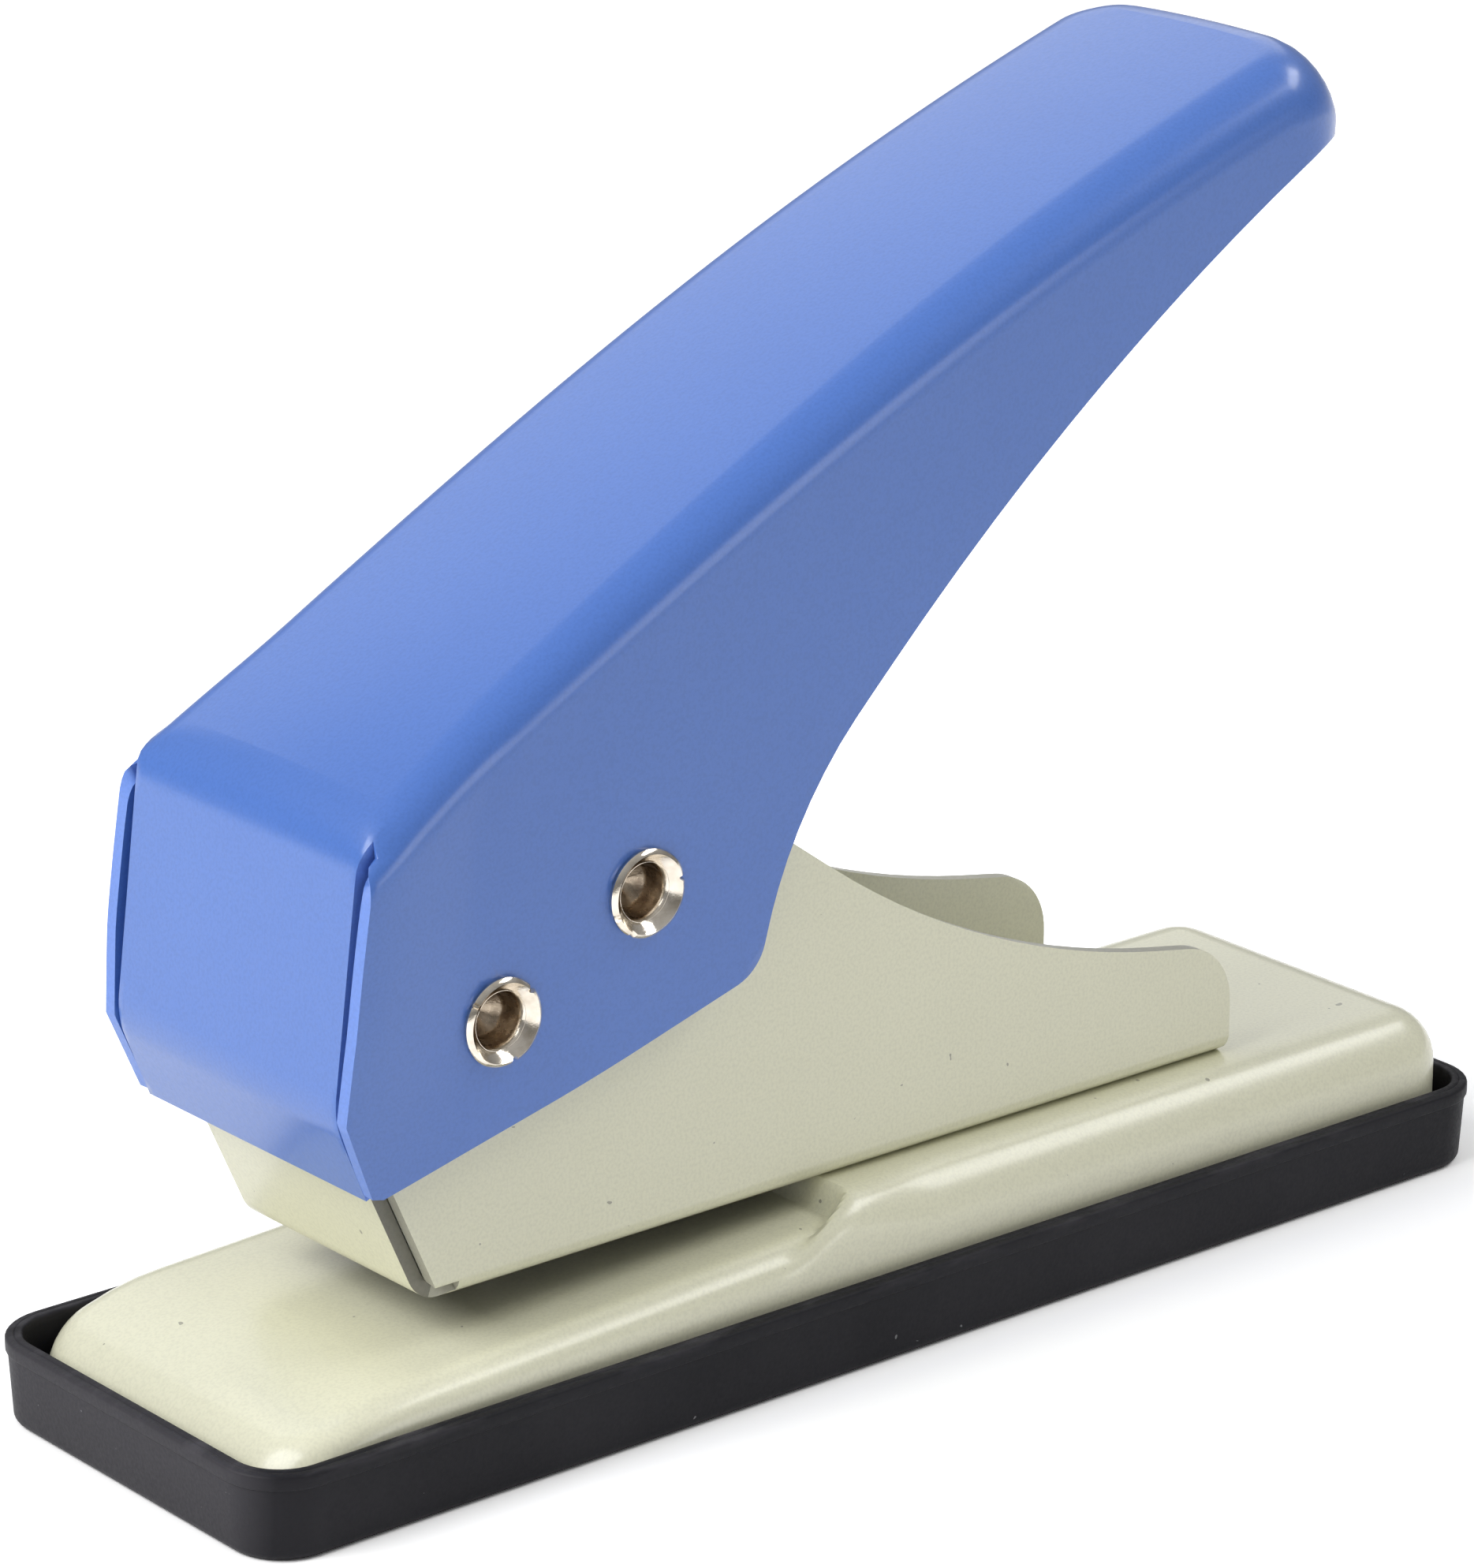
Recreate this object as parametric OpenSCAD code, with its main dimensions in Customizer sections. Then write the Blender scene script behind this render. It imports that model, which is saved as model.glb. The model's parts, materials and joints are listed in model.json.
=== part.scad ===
// Single hole punch: a pressed steel lever on a folded bracket, riveted to a drawn base that sits in a chip tray.
// Millimetres. +X runs from the punching end to the lever's tip, +Z is up, and the tray stands on z = 0.

/* [Tray] */
// Length of the chip tray
tray_l = 110; // [100:1:130]
// Width of the chip tray
tray_w = 32.4; // [31:0.1:40]
// Height of the tray's rim
tray_h = 6.2; // [4:0.1:8]
// Wall of the tray
tray_wall = 1.2; // [0.8:0.1:1.6]
// Floor of the tray
tray_floor = 1.5; // [0.8:0.1:2.5]
// Outer corner radius of the tray, seen from above
tray_corner = 4.5; // [3:0.5:8]

/* [Base] */
// Gap from the base to the tray's long walls
base_side_gap = 0.4; // [0.2:0.1:0.8]
// Gap from the base to the tray's end walls
base_end_gap = 1.6; // [0.4:0.1:3]
// Sheet thickness of the base
base_t = 1; // [0.8:0.1:1.4]
// Height of the rear plateau above the tray's floor
base_h = 10.7; // [9.5:0.1:14]
// Drop from the plateau to the table at the die, which is the paper throat
throat = 3.1; // [2.5:0.1:4]
// Fall of the table towards the front, in degrees
table_fall = 2.4; // [0:0.1:4]
// Corner radius of the base, seen from above
base_corner = 6.5; // [5:0.5:9]
// Radius of the base's top edge
base_edge = 2.5; // [1.5:0.1:3.5]
// Place of the paper stop along the base
stop_x = -7; // [-10:0.5:-3]
// Lean of the paper stop, in degrees from upright
stop_lean = 35; // [10:1:45]

/* [Bracket] */
// Outer width of the bracket
bracket_w = 20.5; // [18:0.1:21]
// Sheet thickness of the bracket
bracket_t = 1; // [0.8:0.1:1.3]
// Outer radius of the bracket's bends
bracket_bend = 2.2; // [1.6:0.1:3]
// Lean of the front wall and of the side walls' front edges, in degrees
front_lean = 24; // [15:1:30]
// Length of the front wall along its slope
front_len = 13.5; // [10:0.5:15]
// Slit between the front wall and each side wall
front_slit = 0.4; // [0.3:0.1:0.8]
// Length of the slit back into the floor
slit_back = 2.6; // [2:0.1:4]
// From the pivot forwards to the front wall's lower edge
bracket_front = 4.4; // [3:0.1:4.6]
// From the pivot back to the bracket's rear edge
bracket_rear = 67.3; // [60:0.1:75]
// Height of the side walls' peak over the bracket's underside
wall_peak = 31.5; // [30:0.5:33]
// From the pivot back to the side walls' peak
wall_peak_back = 16.5; // [15:0.5:18]
// From the pivot back to the hollow in the side walls' rear slope
wall_dip_back = 43.4; // [38:0.1:48]
// Height of that hollow over the bracket's underside
wall_dip = 12.4; // [10:0.1:15]
// Height of the side walls' rear corner over the bracket's underside
wall_tail = 8; // [6:0.1:10]
// Radius of the side walls' front brow
brow_round = 4; // [2:0.5:6]
// Drop of the side walls' shoulder under their peak
shoulder_drop = 4; // [3:0.5:6]
// Radius of the shoulder
shoulder_round = 6; // [3:0.5:8]
// Radius of the peak
peak_round = 5; // [3:0.5:6]
// Radius of the hollow
dip_round = 74; // [50:1:80]
// Radius of the rear corner
tail_round = 5; // [3:0.5:6]

/* [Lever] */
// Place of the pivot along the base
pivot_x = -33.6; // [-35:0.1:-32]
// Height of the pivot over the bracket's underside
pivot_h = 18.9; // [17:0.1:20]
// Distance from the pivot to the drive shaft
drive_dist = 13.2; // [12:0.1:14]
// Angle of the drive shaft over the pivot at rest, in degrees
drive_angle = 27.1; // [25:0.1:30]
// Full swing of the lever, in degrees
swing = 25; // [20:1:26]
// Outer width of the lever
lever_w = 25.5; // [24.6:0.1:28]
// Sheet thickness of the lever
lever_t = 1; // [0.8:0.1:1.3]
// Outer radius of the bend between the lever's top and sides
lever_bend = 3; // [2:0.1:4]
// Height of the lever's top over the pivot, square to the top
top_rise = 17.6; // [16.5:0.1:20]
// Slope of the lever's top over the pivot, in degrees
top_slope = 31.3; // [29:0.1:33]
// Radius of the lever's arched top
top_radius = 415; // [300:5:600]
// Length along the top from over the pivot to the tip
lever_reach = 93.5; // [90:0.5:100]
// Corner radius of the tip, seen from above
tip_corner = 9; // [5:0.5:11]
// Radius of the tip's top edge, seen from the side
tip_round = 4; // [2:0.5:5]
// From the pivot forwards to the fold in the front flap
fold_ahead = 12.5; // [12:0.1:14]
// From the pivot down to that fold
fold_drop = 4; // [3:0.1:5]
// Lean of the flap over the fold, in degrees
flap_lean = 7.2; // [4:0.1:10]
// Length of the flap under the fold
lip_len = 6.3; // [5:0.1:7]
// Outer radius of the fold
fold_round = 0.8; // [0.4:0.1:1.2]
// Radius of the corner where the flap's lip meets the sides' lower edge
lip_round = 0.6; // [0.3:0.1:1]
// Slit between the flap and each side
flap_slit = 0.4; // [0.3:0.1:0.8]
// From the pivot back to the heel, the sides' lower rear corner
heel_back = 21.4; // [20:0.1:23]
// From the pivot down to the heel
heel_drop = 1.7; // [1:0.1:3]
// Radius of the heel
heel_round = 3.5; // [2:0.1:4]
// Length of the edge that rises from the heel
heel_len = 10.7; // [10:0.1:12]
// Slope of that edge, in degrees
heel_slope = 75.7; // [70:0.1:80]
// Radius over that edge
neck_round = 22; // [15:1:24]
// Length of the under edge from there to its bend
under_len = 28.1; // [26:0.1:30]
// Slope of that under edge, in degrees
under_slope = 47; // [44:0.5:50]
// Radius of its bend
under_round = 120; // [80:5:130]
// Length of the under edge from its bend to the tip
reach_len = 33.6; // [31:0.1:36]
// Slope of that under edge, in degrees
reach_slope = 31; // [29:0.5:32]
// Radius where the under edge turns level round the tip
chin_round = 2; // [1:0.5:4]

/* [Shafts] */
// Diameter of both shafts between the lever's sides
shaft_d = 5; // [4.6:0.1:6]
// Diameter of the necks in the lever's sides
neck_d = 4; // [3.5:0.1:4.4]
// Diameter of the rolled heads
head_d = 6; // [5.5:0.1:7]
// Thickness of the rolled heads
head_t = 0.6; // [0.4:0.1:0.9]
// Diameter of the hollow in each head
hollow_d = 3; // [2.4:0.1:3.2]
// Depth of that hollow
hollow_depth = 4; // [2:0.5:6]
// Outer diameter of the spacers
spacer_d = 8; // [7.4:0.1:9]

/* [Punch] */
// Diameter of the punch pin, which is the hole's
pin_d = 6; // [5:0.1:6.5]
// Height of the pin's tip over the bracket's underside at rest
tip_recess = 0.6; // [0.4:0.1:1]
// Depth of the hollow ground across the tip
tip_grind = 0.8; // [0.4:0.1:1.2]
// From the pin's top down to its groove
groove_below = 1.7; // [1.2:0.1:2.5]
// Diameter of the pin in its groove
groove_d = 4.6; // [4:0.1:4.8]
// Thickness of the retaining clip
clip_t = 0.7; // [0.5:0.1:1]
// Outer diameter of the retaining clip
clip_d = 9.4; // [8:0.1:10]
// Width of the clip's mouth
clip_mouth = 3.6; // [3:0.1:4]
// Thickness of the spring's washer
washer_t = 0.8; // [0.6:0.1:1.2]
// Outer diameter of the spring's washer
washer_d = 12; // [11.5:0.1:13]
// Diameter of the guide's neck
guide_d = 8; // [7.6:0.1:8.2]
// Height of the guide's neck over its flange
guide_h = 4.4; // [3:0.1:6]
// Diameter of the guide's flange
flange_d = 12.5; // [12:0.1:14]
// Thickness of the guide's flange
flange_t = 1.2; // [1:0.1:1.6]
// Outer diameter of the die ring
die_d = 13; // [11:0.1:16]
// Thickness of the die ring
die_t = 2.2; // [2:0.1:3]
// Wire of the return spring
wire_d = 0.9; // [0.7:0.05:1]
// Diameter of the spring at the middle of its wire
coil_d = 9.8; // [9.6:0.1:10.2]
// Turns of the spring
coil_turns = 8; // [6:1:9]

/* [Base rivets] */
// Diameter of the base rivets
rivet_d = 3; // [2.5:0.1:3.5]
// Diameter of their heads
rivet_head_d = 5.4; // [4.6:0.1:6]
// Height of their heads
rivet_head_t = 0.9; // [0.6:0.1:1.2]
// Distance between the rivets across the base
rivet_across = 10; // [8:0.1:10.5]
// From the paper stop back to the front pair
rivet_front = 9; // [6:0.5:12]
// From the front pair to the rear pair
rivet_along = 22; // [16:0.5:26]

/* [Fits] */
// Clearance round a shaft or pin that turns or slides
running = 0.05; // [0.02:0.01:0.1]
// Clearance round a piece that is pressed or riveted in
seated = 0.02; // [0.01:0.01:0.04]
// Clearance round the drive shaft in the bracket's slots
slot_play = 0.15; // [0.1:0.05:0.3]
// Gap between flat faces that pass each other
side_play = 0.15; // [0.1:0.05:0.3]
// Gap between the drive shaft and the pin's top at rest
press_gap = 0.12; // [0.1:0.01:0.2]
// Gap at each end of the spring
spring_gap = 0.05; // [0.02:0.01:0.2]

/* [Hidden] */
// Steps of a full circle, for ordinary rounds and for the lever's long arch
round_steps = 64;
arch_steps = 1440;
$fn = round_steps;

// Straight pieces on each rounded corner of an outline
corner_steps = 8;
// Largest share of a side that one rounded corner may take
round_share = 0.7;
// Length by which a cut passes through what it cuts
through = 1;
// Step between faces that would otherwise lie in one plane
hair = 0.02;
// Length that is longer than anything here
far = 200;
// Depth of the block that the lever is cut from, in heights of its top over the pivot
block_rises = 3;
// Rings on each turn of the spring, and sides of its wire
turn_rings = 8;
wire_sides = 6;

paint_blue = [0.33, 0.47, 0.80];
paint_cream = [0.79, 0.79, 0.72];
plastic_black = [0.14, 0.14, 0.16];
nickel = [0.78, 0.74, 0.68];
steel = [0.62, 0.63, 0.65];
nylon = [0.85, 0.85, 0.82];

base_l = tray_l - 2 * (tray_wall + base_end_gap);
base_w = tray_w - 2 * (tray_wall + base_side_gap);
plateau_z = tray_floor + base_h;
floor_z = plateau_z + bracket_t;
pivot = [pivot_x, plateau_z + pivot_h];
drive = pivot + drive_dist * [cos(drive_angle), sin(drive_angle)];
drive_end = pivot + drive_dist * [cos(drive_angle - swing), sin(drive_angle - swing)];
stroke = drive[1] - drive_end[1];
punch_x = (drive[0] + drive_end[0]) / 2;
table_z = plateau_z - throat;

pin_top = drive[1] - shaft_d / 2 - press_gap;
groove_top = pin_top - groove_below;
washer_top = groove_top - clip_t;
spring_bottom = floor_z + flange_t + spring_gap;
spring_top = washer_top - washer_t - spring_gap;
lever_inside = lever_w / 2 - lever_t;
spacer_t = lever_inside - bracket_w / 2 - side_play;

// The lever's arched top turns about this point, straight below its top over the pivot
top_normal = [-sin(top_slope), cos(top_slope)];
top_centre = pivot - (top_radius - top_rise) * top_normal;
tip_slope = top_slope - lever_reach / top_radius * 180 / PI;
tip = top_centre + top_radius * [-sin(tip_slope), cos(tip_slope)];

echo(stroke = stroke, ratio_mm_per_rad = stroke / (swing * PI / 180), punch_x = punch_x);
echo(pivot = pivot, drive = drive, tip = tip, spring_bottom = spring_bottom, spring_top = spring_top);

// Outlines

function unit(v) = v / norm(v);
function aim(angle) = [cos(angle), sin(angle)];
function spot(p) = [p[0], p[1]];

// Points of one rounded corner at b, between a and c; a round is limited by its shorter side
function corner(a, b, c, r) =
    let(u = unit(a - b), v = unit(c - b), half = acos(u * v) / 2)
    let(t = min(r / tan(half), round_share * min(norm(a - b), norm(c - b))))
    let(m = b + unit(u + v) * t / cos(half), s = b + u * t - m, e = b + v * t - m)
    let(start = atan2(s[1], s[0]), turn = atan2(s[0] * e[1] - s[1] * e[0], s * e))
    [for (i = [0:corner_steps]) m + norm(s) * aim(start + turn * i / corner_steps)];

// An outline whose points each hold x, z and a corner radius
function rounded(points) =
    let(n = len(points))
    [for (i = [0:n - 1])
        let(a = spot(points[(i + n - 1) % n]), b = spot(points[i]), c = spot(points[(i + 1) % n]))
        each points[i][2] > 0 ? corner(a, b, c, points[i][2]) : [b]];

function with_round(p, r) = [p[0], p[1], r];

// Inner corner of a sheet of thickness t that folds at p, with its two legs along u and v
function fold_inside(p, u, v, t) =
    let(half = acos(u * v) / 2)
    p + unit(u + v) * t / sin(half);

// Children drawn in x and z, extruded across the width
module across(width) {
    rotate([90, 0, 0])
        translate([0, 0, -width / 2])
            linear_extrude(width)
                children();
}

// Round bar across the width, through a point given in x and z
module bar(p, d, width) {
    translate([p[0], 0, p[1]])
        rotate([90, 0, 0])
            cylinder(d = d, h = width, center = true);
}

// Rectangle with rounded corners, centred
module rounded_plate(l, w, r) {
    square([l - 2 * r, w], center = true);
    square([l, w - 2 * r], center = true);
    for (x = [-1, 1], y = [-1, 1])
        translate([x * (l / 2 - r), y * (w / 2 - r)])
            circle(r);
}

// Upright section of a drawn plate: flat bottom, two rounded top corners
module crown_section(w, h, r) {
    translate([-w / 2, 0])
        square([w, h - r]);
    translate([-w / 2 + r, 0])
        square([w - 2 * r, h]);
    for (x = [-1, 1])
        translate([x * (w / 2 - r), h - r])
            circle(r, $fn = round_steps);
}

// Drawn plate with rounded corners and a rounded top edge
module drawn_plate(l, w, h, corner_r, edge_r) {
    rotate([90, 0, 90])
        translate([0, 0, -l / 2 + corner_r])
            linear_extrude(l - 2 * corner_r)
                crown_section(w, h, edge_r);
    across(w - 2 * corner_r)
        crown_section(l, h, edge_r);
    for (x = [-1, 1], y = [-1, 1])
        translate([x * (l / 2 - corner_r), y * (w / 2 - corner_r), 0])
            rotate_extrude()
                intersection() {
                    crown_section(2 * corner_r, h, edge_r);
                    square([corner_r, h]);
                }
}

// Chip tray

module chip_tray() {
    color(plastic_black)
        difference() {
            linear_extrude(tray_h)
                rounded_plate(tray_l, tray_w, tray_corner);
            translate([0, 0, tray_floor])
                linear_extrude(tray_h)
                    rounded_plate(tray_l - 2 * tray_wall, tray_w - 2 * tray_wall, tray_corner - tray_wall);
        }
}

// Base

// The base's outer form, or its inner one when it is shrunk by a sheet's thickness and starts lower
module base_form(shrink, bottom) {
    l = base_l - 2 * shrink;
    w = base_w - 2 * shrink;
    corner_r = base_corner - shrink;
    edge_r = base_edge - shrink;
    foot = [stop_x + shrink - throat * tan(stop_lean), table_z - shrink];
    head = [stop_x + shrink, plateau_z - shrink];
    // Rear plateau, which begins at the leaning paper stop
    intersection() {
        translate([0, 0, bottom])
            drawn_plate(l, w, head[1] - bottom, corner_r, edge_r);
        across(base_w + through)
            polygon([[foot[0], -through], foot, head + [0, hair], [far, far], [far, -through]]);
    }
    // Front table, which falls towards the front from the die
    intersection() {
        translate([punch_x, 0, table_z - shrink])
            rotate([0, -table_fall, 0])
                translate([-punch_x, 0, -base_h])
                    drawn_plate(l, w - hair, base_h, corner_r, edge_r);
        across(base_w + through)
            polygon([[-far, bottom], [-far, far], [head[0], far], [head[0], bottom]]);
    }
}

module base_rivet_place(i) {
    x = stop_x + rivet_front + (i < 2 ? 0 : rivet_along);
    y = (i % 2 == 0 ? -1 : 1) * rivet_across / 2;
    translate([x, y, 0])
        children();
}

module base_plate() {
    color(paint_cream)
        difference() {
            base_form(0, tray_floor);
            base_form(base_t, tray_floor - through);
            translate([punch_x, 0, tray_floor])
                cylinder(d = pin_d + 2 * running, h = base_h);
            for (i = [0:3])
                base_rivet_place(i)
                    translate([0, 0, tray_floor])
                        cylinder(d = rivet_d + 2 * seated, h = base_h + through);
        }
}

module die_ring() {
    color(steel)
        difference() {
            translate([punch_x, 0, table_z])
                rotate([0, -table_fall, 0])
                    translate([0, 0, -base_t - die_t])
                        cylinder(d = die_d, h = die_t);
            translate([punch_x, 0, 0])
                cylinder(d = pin_d + 2 * running, h = plateau_z);
        }
}

// Rivet through the bracket's floor and the plateau, with a low head at each end
module base_rivet(i) {
    color(steel)
        base_rivet_place(i) {
            translate([0, 0, plateau_z - base_t - rivet_head_t])
                cylinder(d = rivet_head_d, h = rivet_head_t);
            translate([0, 0, plateau_z - base_t - rivet_head_t])
                cylinder(d = rivet_d, h = rivet_head_t + base_t + bracket_t + rivet_head_t);
            translate([0, 0, floor_z])
                cylinder(d1 = rivet_head_d, d2 = rivet_d, h = rivet_head_t);
        }
}

// Bracket

bracket_toe = [pivot_x - bracket_front, plateau_z];
front_up = [-sin(front_lean), cos(front_lean)];
front_inside = fold_inside(bracket_toe, [1, 0], front_up, bracket_t);

// Side view of the bracket's walls
function wall_outline() =
    let(back = pivot_x + bracket_rear)
    let(brow = front_inside + front_up * front_len)
    rounded([
        [bracket_toe[0] + bracket_t, plateau_z, 0],
        with_round(front_inside, 0),
        with_round(brow, brow_round),
        [pivot_x - bracket_front / 2, plateau_z + wall_peak - shoulder_drop, shoulder_round],
        [pivot_x + wall_peak_back, plateau_z + wall_peak, peak_round],
        [pivot_x + wall_dip_back, plateau_z + wall_dip, dip_round],
        [back, plateau_z + wall_tail, tail_round],
        [back, plateau_z, 0]
    ]);

// Section of the folded channel, outside or inside
module channel_section(w, r) {
    translate([-w / 2, r])
        square([w, far]);
    translate([-w / 2 + r, 0])
        square([w - 2 * r, far]);
    for (x = [-1, 1])
        translate([x * (w / 2 - r), r])
            circle(r);
}

// Front wall, bent up from the floor
module front_wall() {
    floor_back = bracket_toe[0] + bracket_bend + slit_back;
    top_outer = bracket_toe + front_up * front_len;
    top_inner = top_outer + bracket_t * [cos(front_lean), sin(front_lean)];
    across(bracket_w - 2 * (bracket_t + front_slit))
        polygon(rounded([
            [floor_back, plateau_z, 0],
            with_round(bracket_toe, bracket_bend),
            with_round(top_outer, 0),
            with_round(top_inner, 0),
            with_round(front_inside, bracket_bend - bracket_t),
            [floor_back, floor_z, 0]
        ]));
}

// Side view of the arc slot that the drive shaft runs in
function slot_outline() =
    let(r = shaft_d / 2 + slot_play, low = drive_angle - swing)
    [
        for (i = [0:corner_steps]) pivot + (drive_dist + r) * aim(low + swing * i / corner_steps),
        for (i = [1:corner_steps - 1]) drive + r * aim(drive_angle + 180 * i / corner_steps),
        for (i = [0:corner_steps]) pivot + (drive_dist - r) * aim(drive_angle - swing * i / corner_steps),
        for (i = [1:corner_steps - 1]) drive_end + r * aim(low + 180 + 180 * i / corner_steps)
    ];

module bracket() {
    color(paint_cream)
        difference() {
            union() {
                intersection() {
                    translate([-far / 2, 0, plateau_z])
                        rotate([90, 0, 90])
                            linear_extrude(far)
                                difference() {
                                    channel_section(bracket_w, bracket_bend);
                                    translate([0, bracket_t])
                                        channel_section(bracket_w - 2 * bracket_t, bracket_bend - bracket_t);
                                }
                    across(bracket_w + through)
                        polygon(wall_outline());
                }
                front_wall();
            }
            // Slits in the floor that free the front wall from the side walls
            for (side = [0, 1])
                mirror([0, side, 0])
                    translate([
                        bracket_toe[0] + bracket_bend + slit_back - far,
                        bracket_w / 2 - bracket_t - front_slit,
                        plateau_z - through
                    ])
                        cube([far, front_slit + running, through + bracket_bend]);
            bar(pivot, shaft_d + 2 * running, 2 * bracket_w);
            across(2 * bracket_w)
                polygon(slot_outline());
            translate([punch_x, 0, plateau_z - through])
                cylinder(d = guide_d + 2 * seated, h = bracket_t + 2 * through);
            for (i = [0:3])
                base_rivet_place(i)
                    translate([0, 0, plateau_z - through])
                        cylinder(d = rivet_d + 2 * seated, h = bracket_t + 2 * through);
        }
}

// Flanged bush in the bracket's floor, flush underneath
module punch_guide() {
    color(steel)
        translate([punch_x, 0, plateau_z])
            difference() {
                union() {
                    cylinder(d = guide_d, h = bracket_t + flange_t + guide_h);
                    translate([0, 0, bracket_t])
                        cylinder(d = flange_d, h = flange_t);
                }
                translate([0, 0, -through])
                    cylinder(d = pin_d + 2 * running, h = far);
            }
}

// Punch

module punch_pin() {
    tip_z = plateau_z + tip_recess;
    grind_r = (pin_d * pin_d / 4 + tip_grind * tip_grind) / (2 * tip_grind);
    color(steel)
        translate([punch_x, 0, 0])
            difference() {
                translate([0, 0, tip_z])
                    cylinder(d = pin_d, h = pin_top - tip_z);
                // Groove for the retaining clip
                translate([0, 0, washer_top])
                    difference() {
                        cylinder(d = pin_d + through, h = clip_t);
                        cylinder(d = groove_d, h = clip_t);
                    }
                // Hollow ground across the tip, which leaves two cutting points
                bar([0, tip_z + tip_grind - grind_r], 2 * grind_r, 2 * pin_d);
            }
}

module spring_washer() {
    color(steel)
        translate([punch_x, 0, washer_top - washer_t])
            difference() {
                cylinder(d = washer_d, h = washer_t);
                translate([0, 0, -through])
                    cylinder(d = pin_d + 2 * seated, h = washer_t + 2 * through);
            }
}

module retaining_clip() {
    color(steel)
        translate([punch_x, 0, washer_top])
            difference() {
                cylinder(d = clip_d, h = clip_t);
                translate([0, 0, -through])
                    cylinder(d = groove_d + 2 * seated, h = clip_t + 2 * through);
                translate([clip_d / 2, 0, clip_t / 2])
                    cube([clip_d, clip_mouth, clip_t + 2 * through], center = true);
            }
}

// Return spring: one helical wire from the guide's flange to the washer
spring_rings = coil_turns * turn_rings;
spring_rise = spring_top - spring_bottom - wire_d;

function spring_centre(i) =
    let(a = 360 * i / turn_rings)
    [coil_d / 2 * cos(a), coil_d / 2 * sin(a), wire_d / 2 + spring_rise * i / spring_rings];

function spring_ring(i) =
    let(a = 360 * i / turn_rings, out = [cos(a), sin(a), 0], c = spring_centre(i))
    [for (k = [0:wire_sides - 1])
        let(b = 360 * k / wire_sides + 90)
        c + wire_d / 2 * (cos(b) * out + sin(b) * [0, 0, 1])];

spring_points = [for (i = [0:spring_rings]) each spring_ring(i)];
spring_faces = [
    for (i = [0:spring_rings - 1], k = [0:wire_sides - 1])
        let(a = i * wire_sides + k, b = i * wire_sides + (k + 1) % wire_sides)
        each [[a, b, a + wire_sides], [b, b + wire_sides, a + wire_sides]],
    for (k = [1:wire_sides - 2])
        [0, k + 1, k],
    for (k = [1:wire_sides - 2])
        let(s = spring_rings * wire_sides)
        [s, s + k, s + k + 1]
];
// Least gap of the wire to itself, between points a turn or more apart
spring_self_gap = min([
    for (i = [0:spring_rings - turn_rings])
        for (p = spring_ring(i), q = spring_ring(i + turn_rings))
            norm(p - q)
]);
echo(spring_self_gap = spring_self_gap, spring_triangles = len(spring_faces));

module return_spring() {
    color(steel)
        translate([punch_x, 0, spring_bottom])
            polyhedron(points = spring_points, faces = spring_faces);
}

// Shafts and spacers

// Shaft between the lever's sides, with a neck and a hollow rolled head at each end
module shaft(p) {
    color(nickel)
        translate([p[0], 0, p[1]])
            rotate([90, 0, 0])
                difference() {
                    union() {
                        cylinder(d = shaft_d, h = 2 * lever_inside, center = true);
                        cylinder(d = neck_d, h = lever_w, center = true);
                        for (side = [0, 1])
                            mirror([0, 0, side])
                                translate([0, 0, lever_w / 2])
                                    shaft_head();
                    }
                    for (side = [0, 1])
                        mirror([0, 0, side])
                            translate([0, 0, lever_w / 2 + head_t - hollow_depth])
                                cylinder(d = hollow_d, h = hollow_depth + through);
                }
}

// Rolled head: rounded over at its rim and dished into its hollow
module shaft_head() {
    rotate_extrude()
        polygon([
            [0, 0],
            [head_d / 2, 0],
            [head_d / 2, head_t / 2],
            [head_d / 2 - head_t / 2, head_t],
            [(head_d + hollow_d) / 4, head_t],
            [hollow_d / 2 - seated, head_t / 2],
            [0, head_t / 2]
        ]);
}

// Spacer against one inner side of the lever
module spacer(p, side) {
    color(nylon)
        translate([p[0], side * (lever_inside - spacer_t / 2), p[1]])
            rotate([90, 0, 0])
                difference() {
                    cylinder(d = spacer_d, h = spacer_t, center = true);
                    cylinder(d = shaft_d + 2 * seated, h = spacer_t + through, center = true);
                }
}

// Lever

fold = pivot + [-fold_ahead, -fold_drop];
flap_up = [sin(flap_lean), cos(flap_lean)];
lip_down = [sin(front_lean), -cos(front_lean)];
lip_end = fold + lip_len * lip_down;
fold_in = fold_inside(fold, flap_up, lip_down, lever_t);

// Side view of the lever: flap, belly, heel, under edge and tip
function lever_outline() =
    let(heel = pivot + [heel_back, -heel_drop])
    let(neck = heel + heel_len * aim(heel_slope))
    let(bend = neck + under_len * aim(under_slope))
    let(tip_low = bend + reach_len * aim(reach_slope))
    rounded([
        with_round(fold, fold_round),
        with_round(lip_end, lip_round),
        with_round(heel, heel_round),
        with_round(neck, neck_round),
        with_round(bend, under_round),
        with_round(tip_low, chin_round),
        [tip_low[0] + far, tip_low[1], 0],
        [tip_low[0] + far, tip_low[1] + far, 0],
        with_round(fold + far * flap_up, 0)
    ]);

// Side view of the space ahead of the flap's inner face
function flap_ahead(up) = [
    fold_in,
    fold_in + far * lip_down,
    fold_in + [-far, -far],
    fold_in + [-far, up],
    fold_in + flap_up * up / flap_up[1]
];

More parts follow.
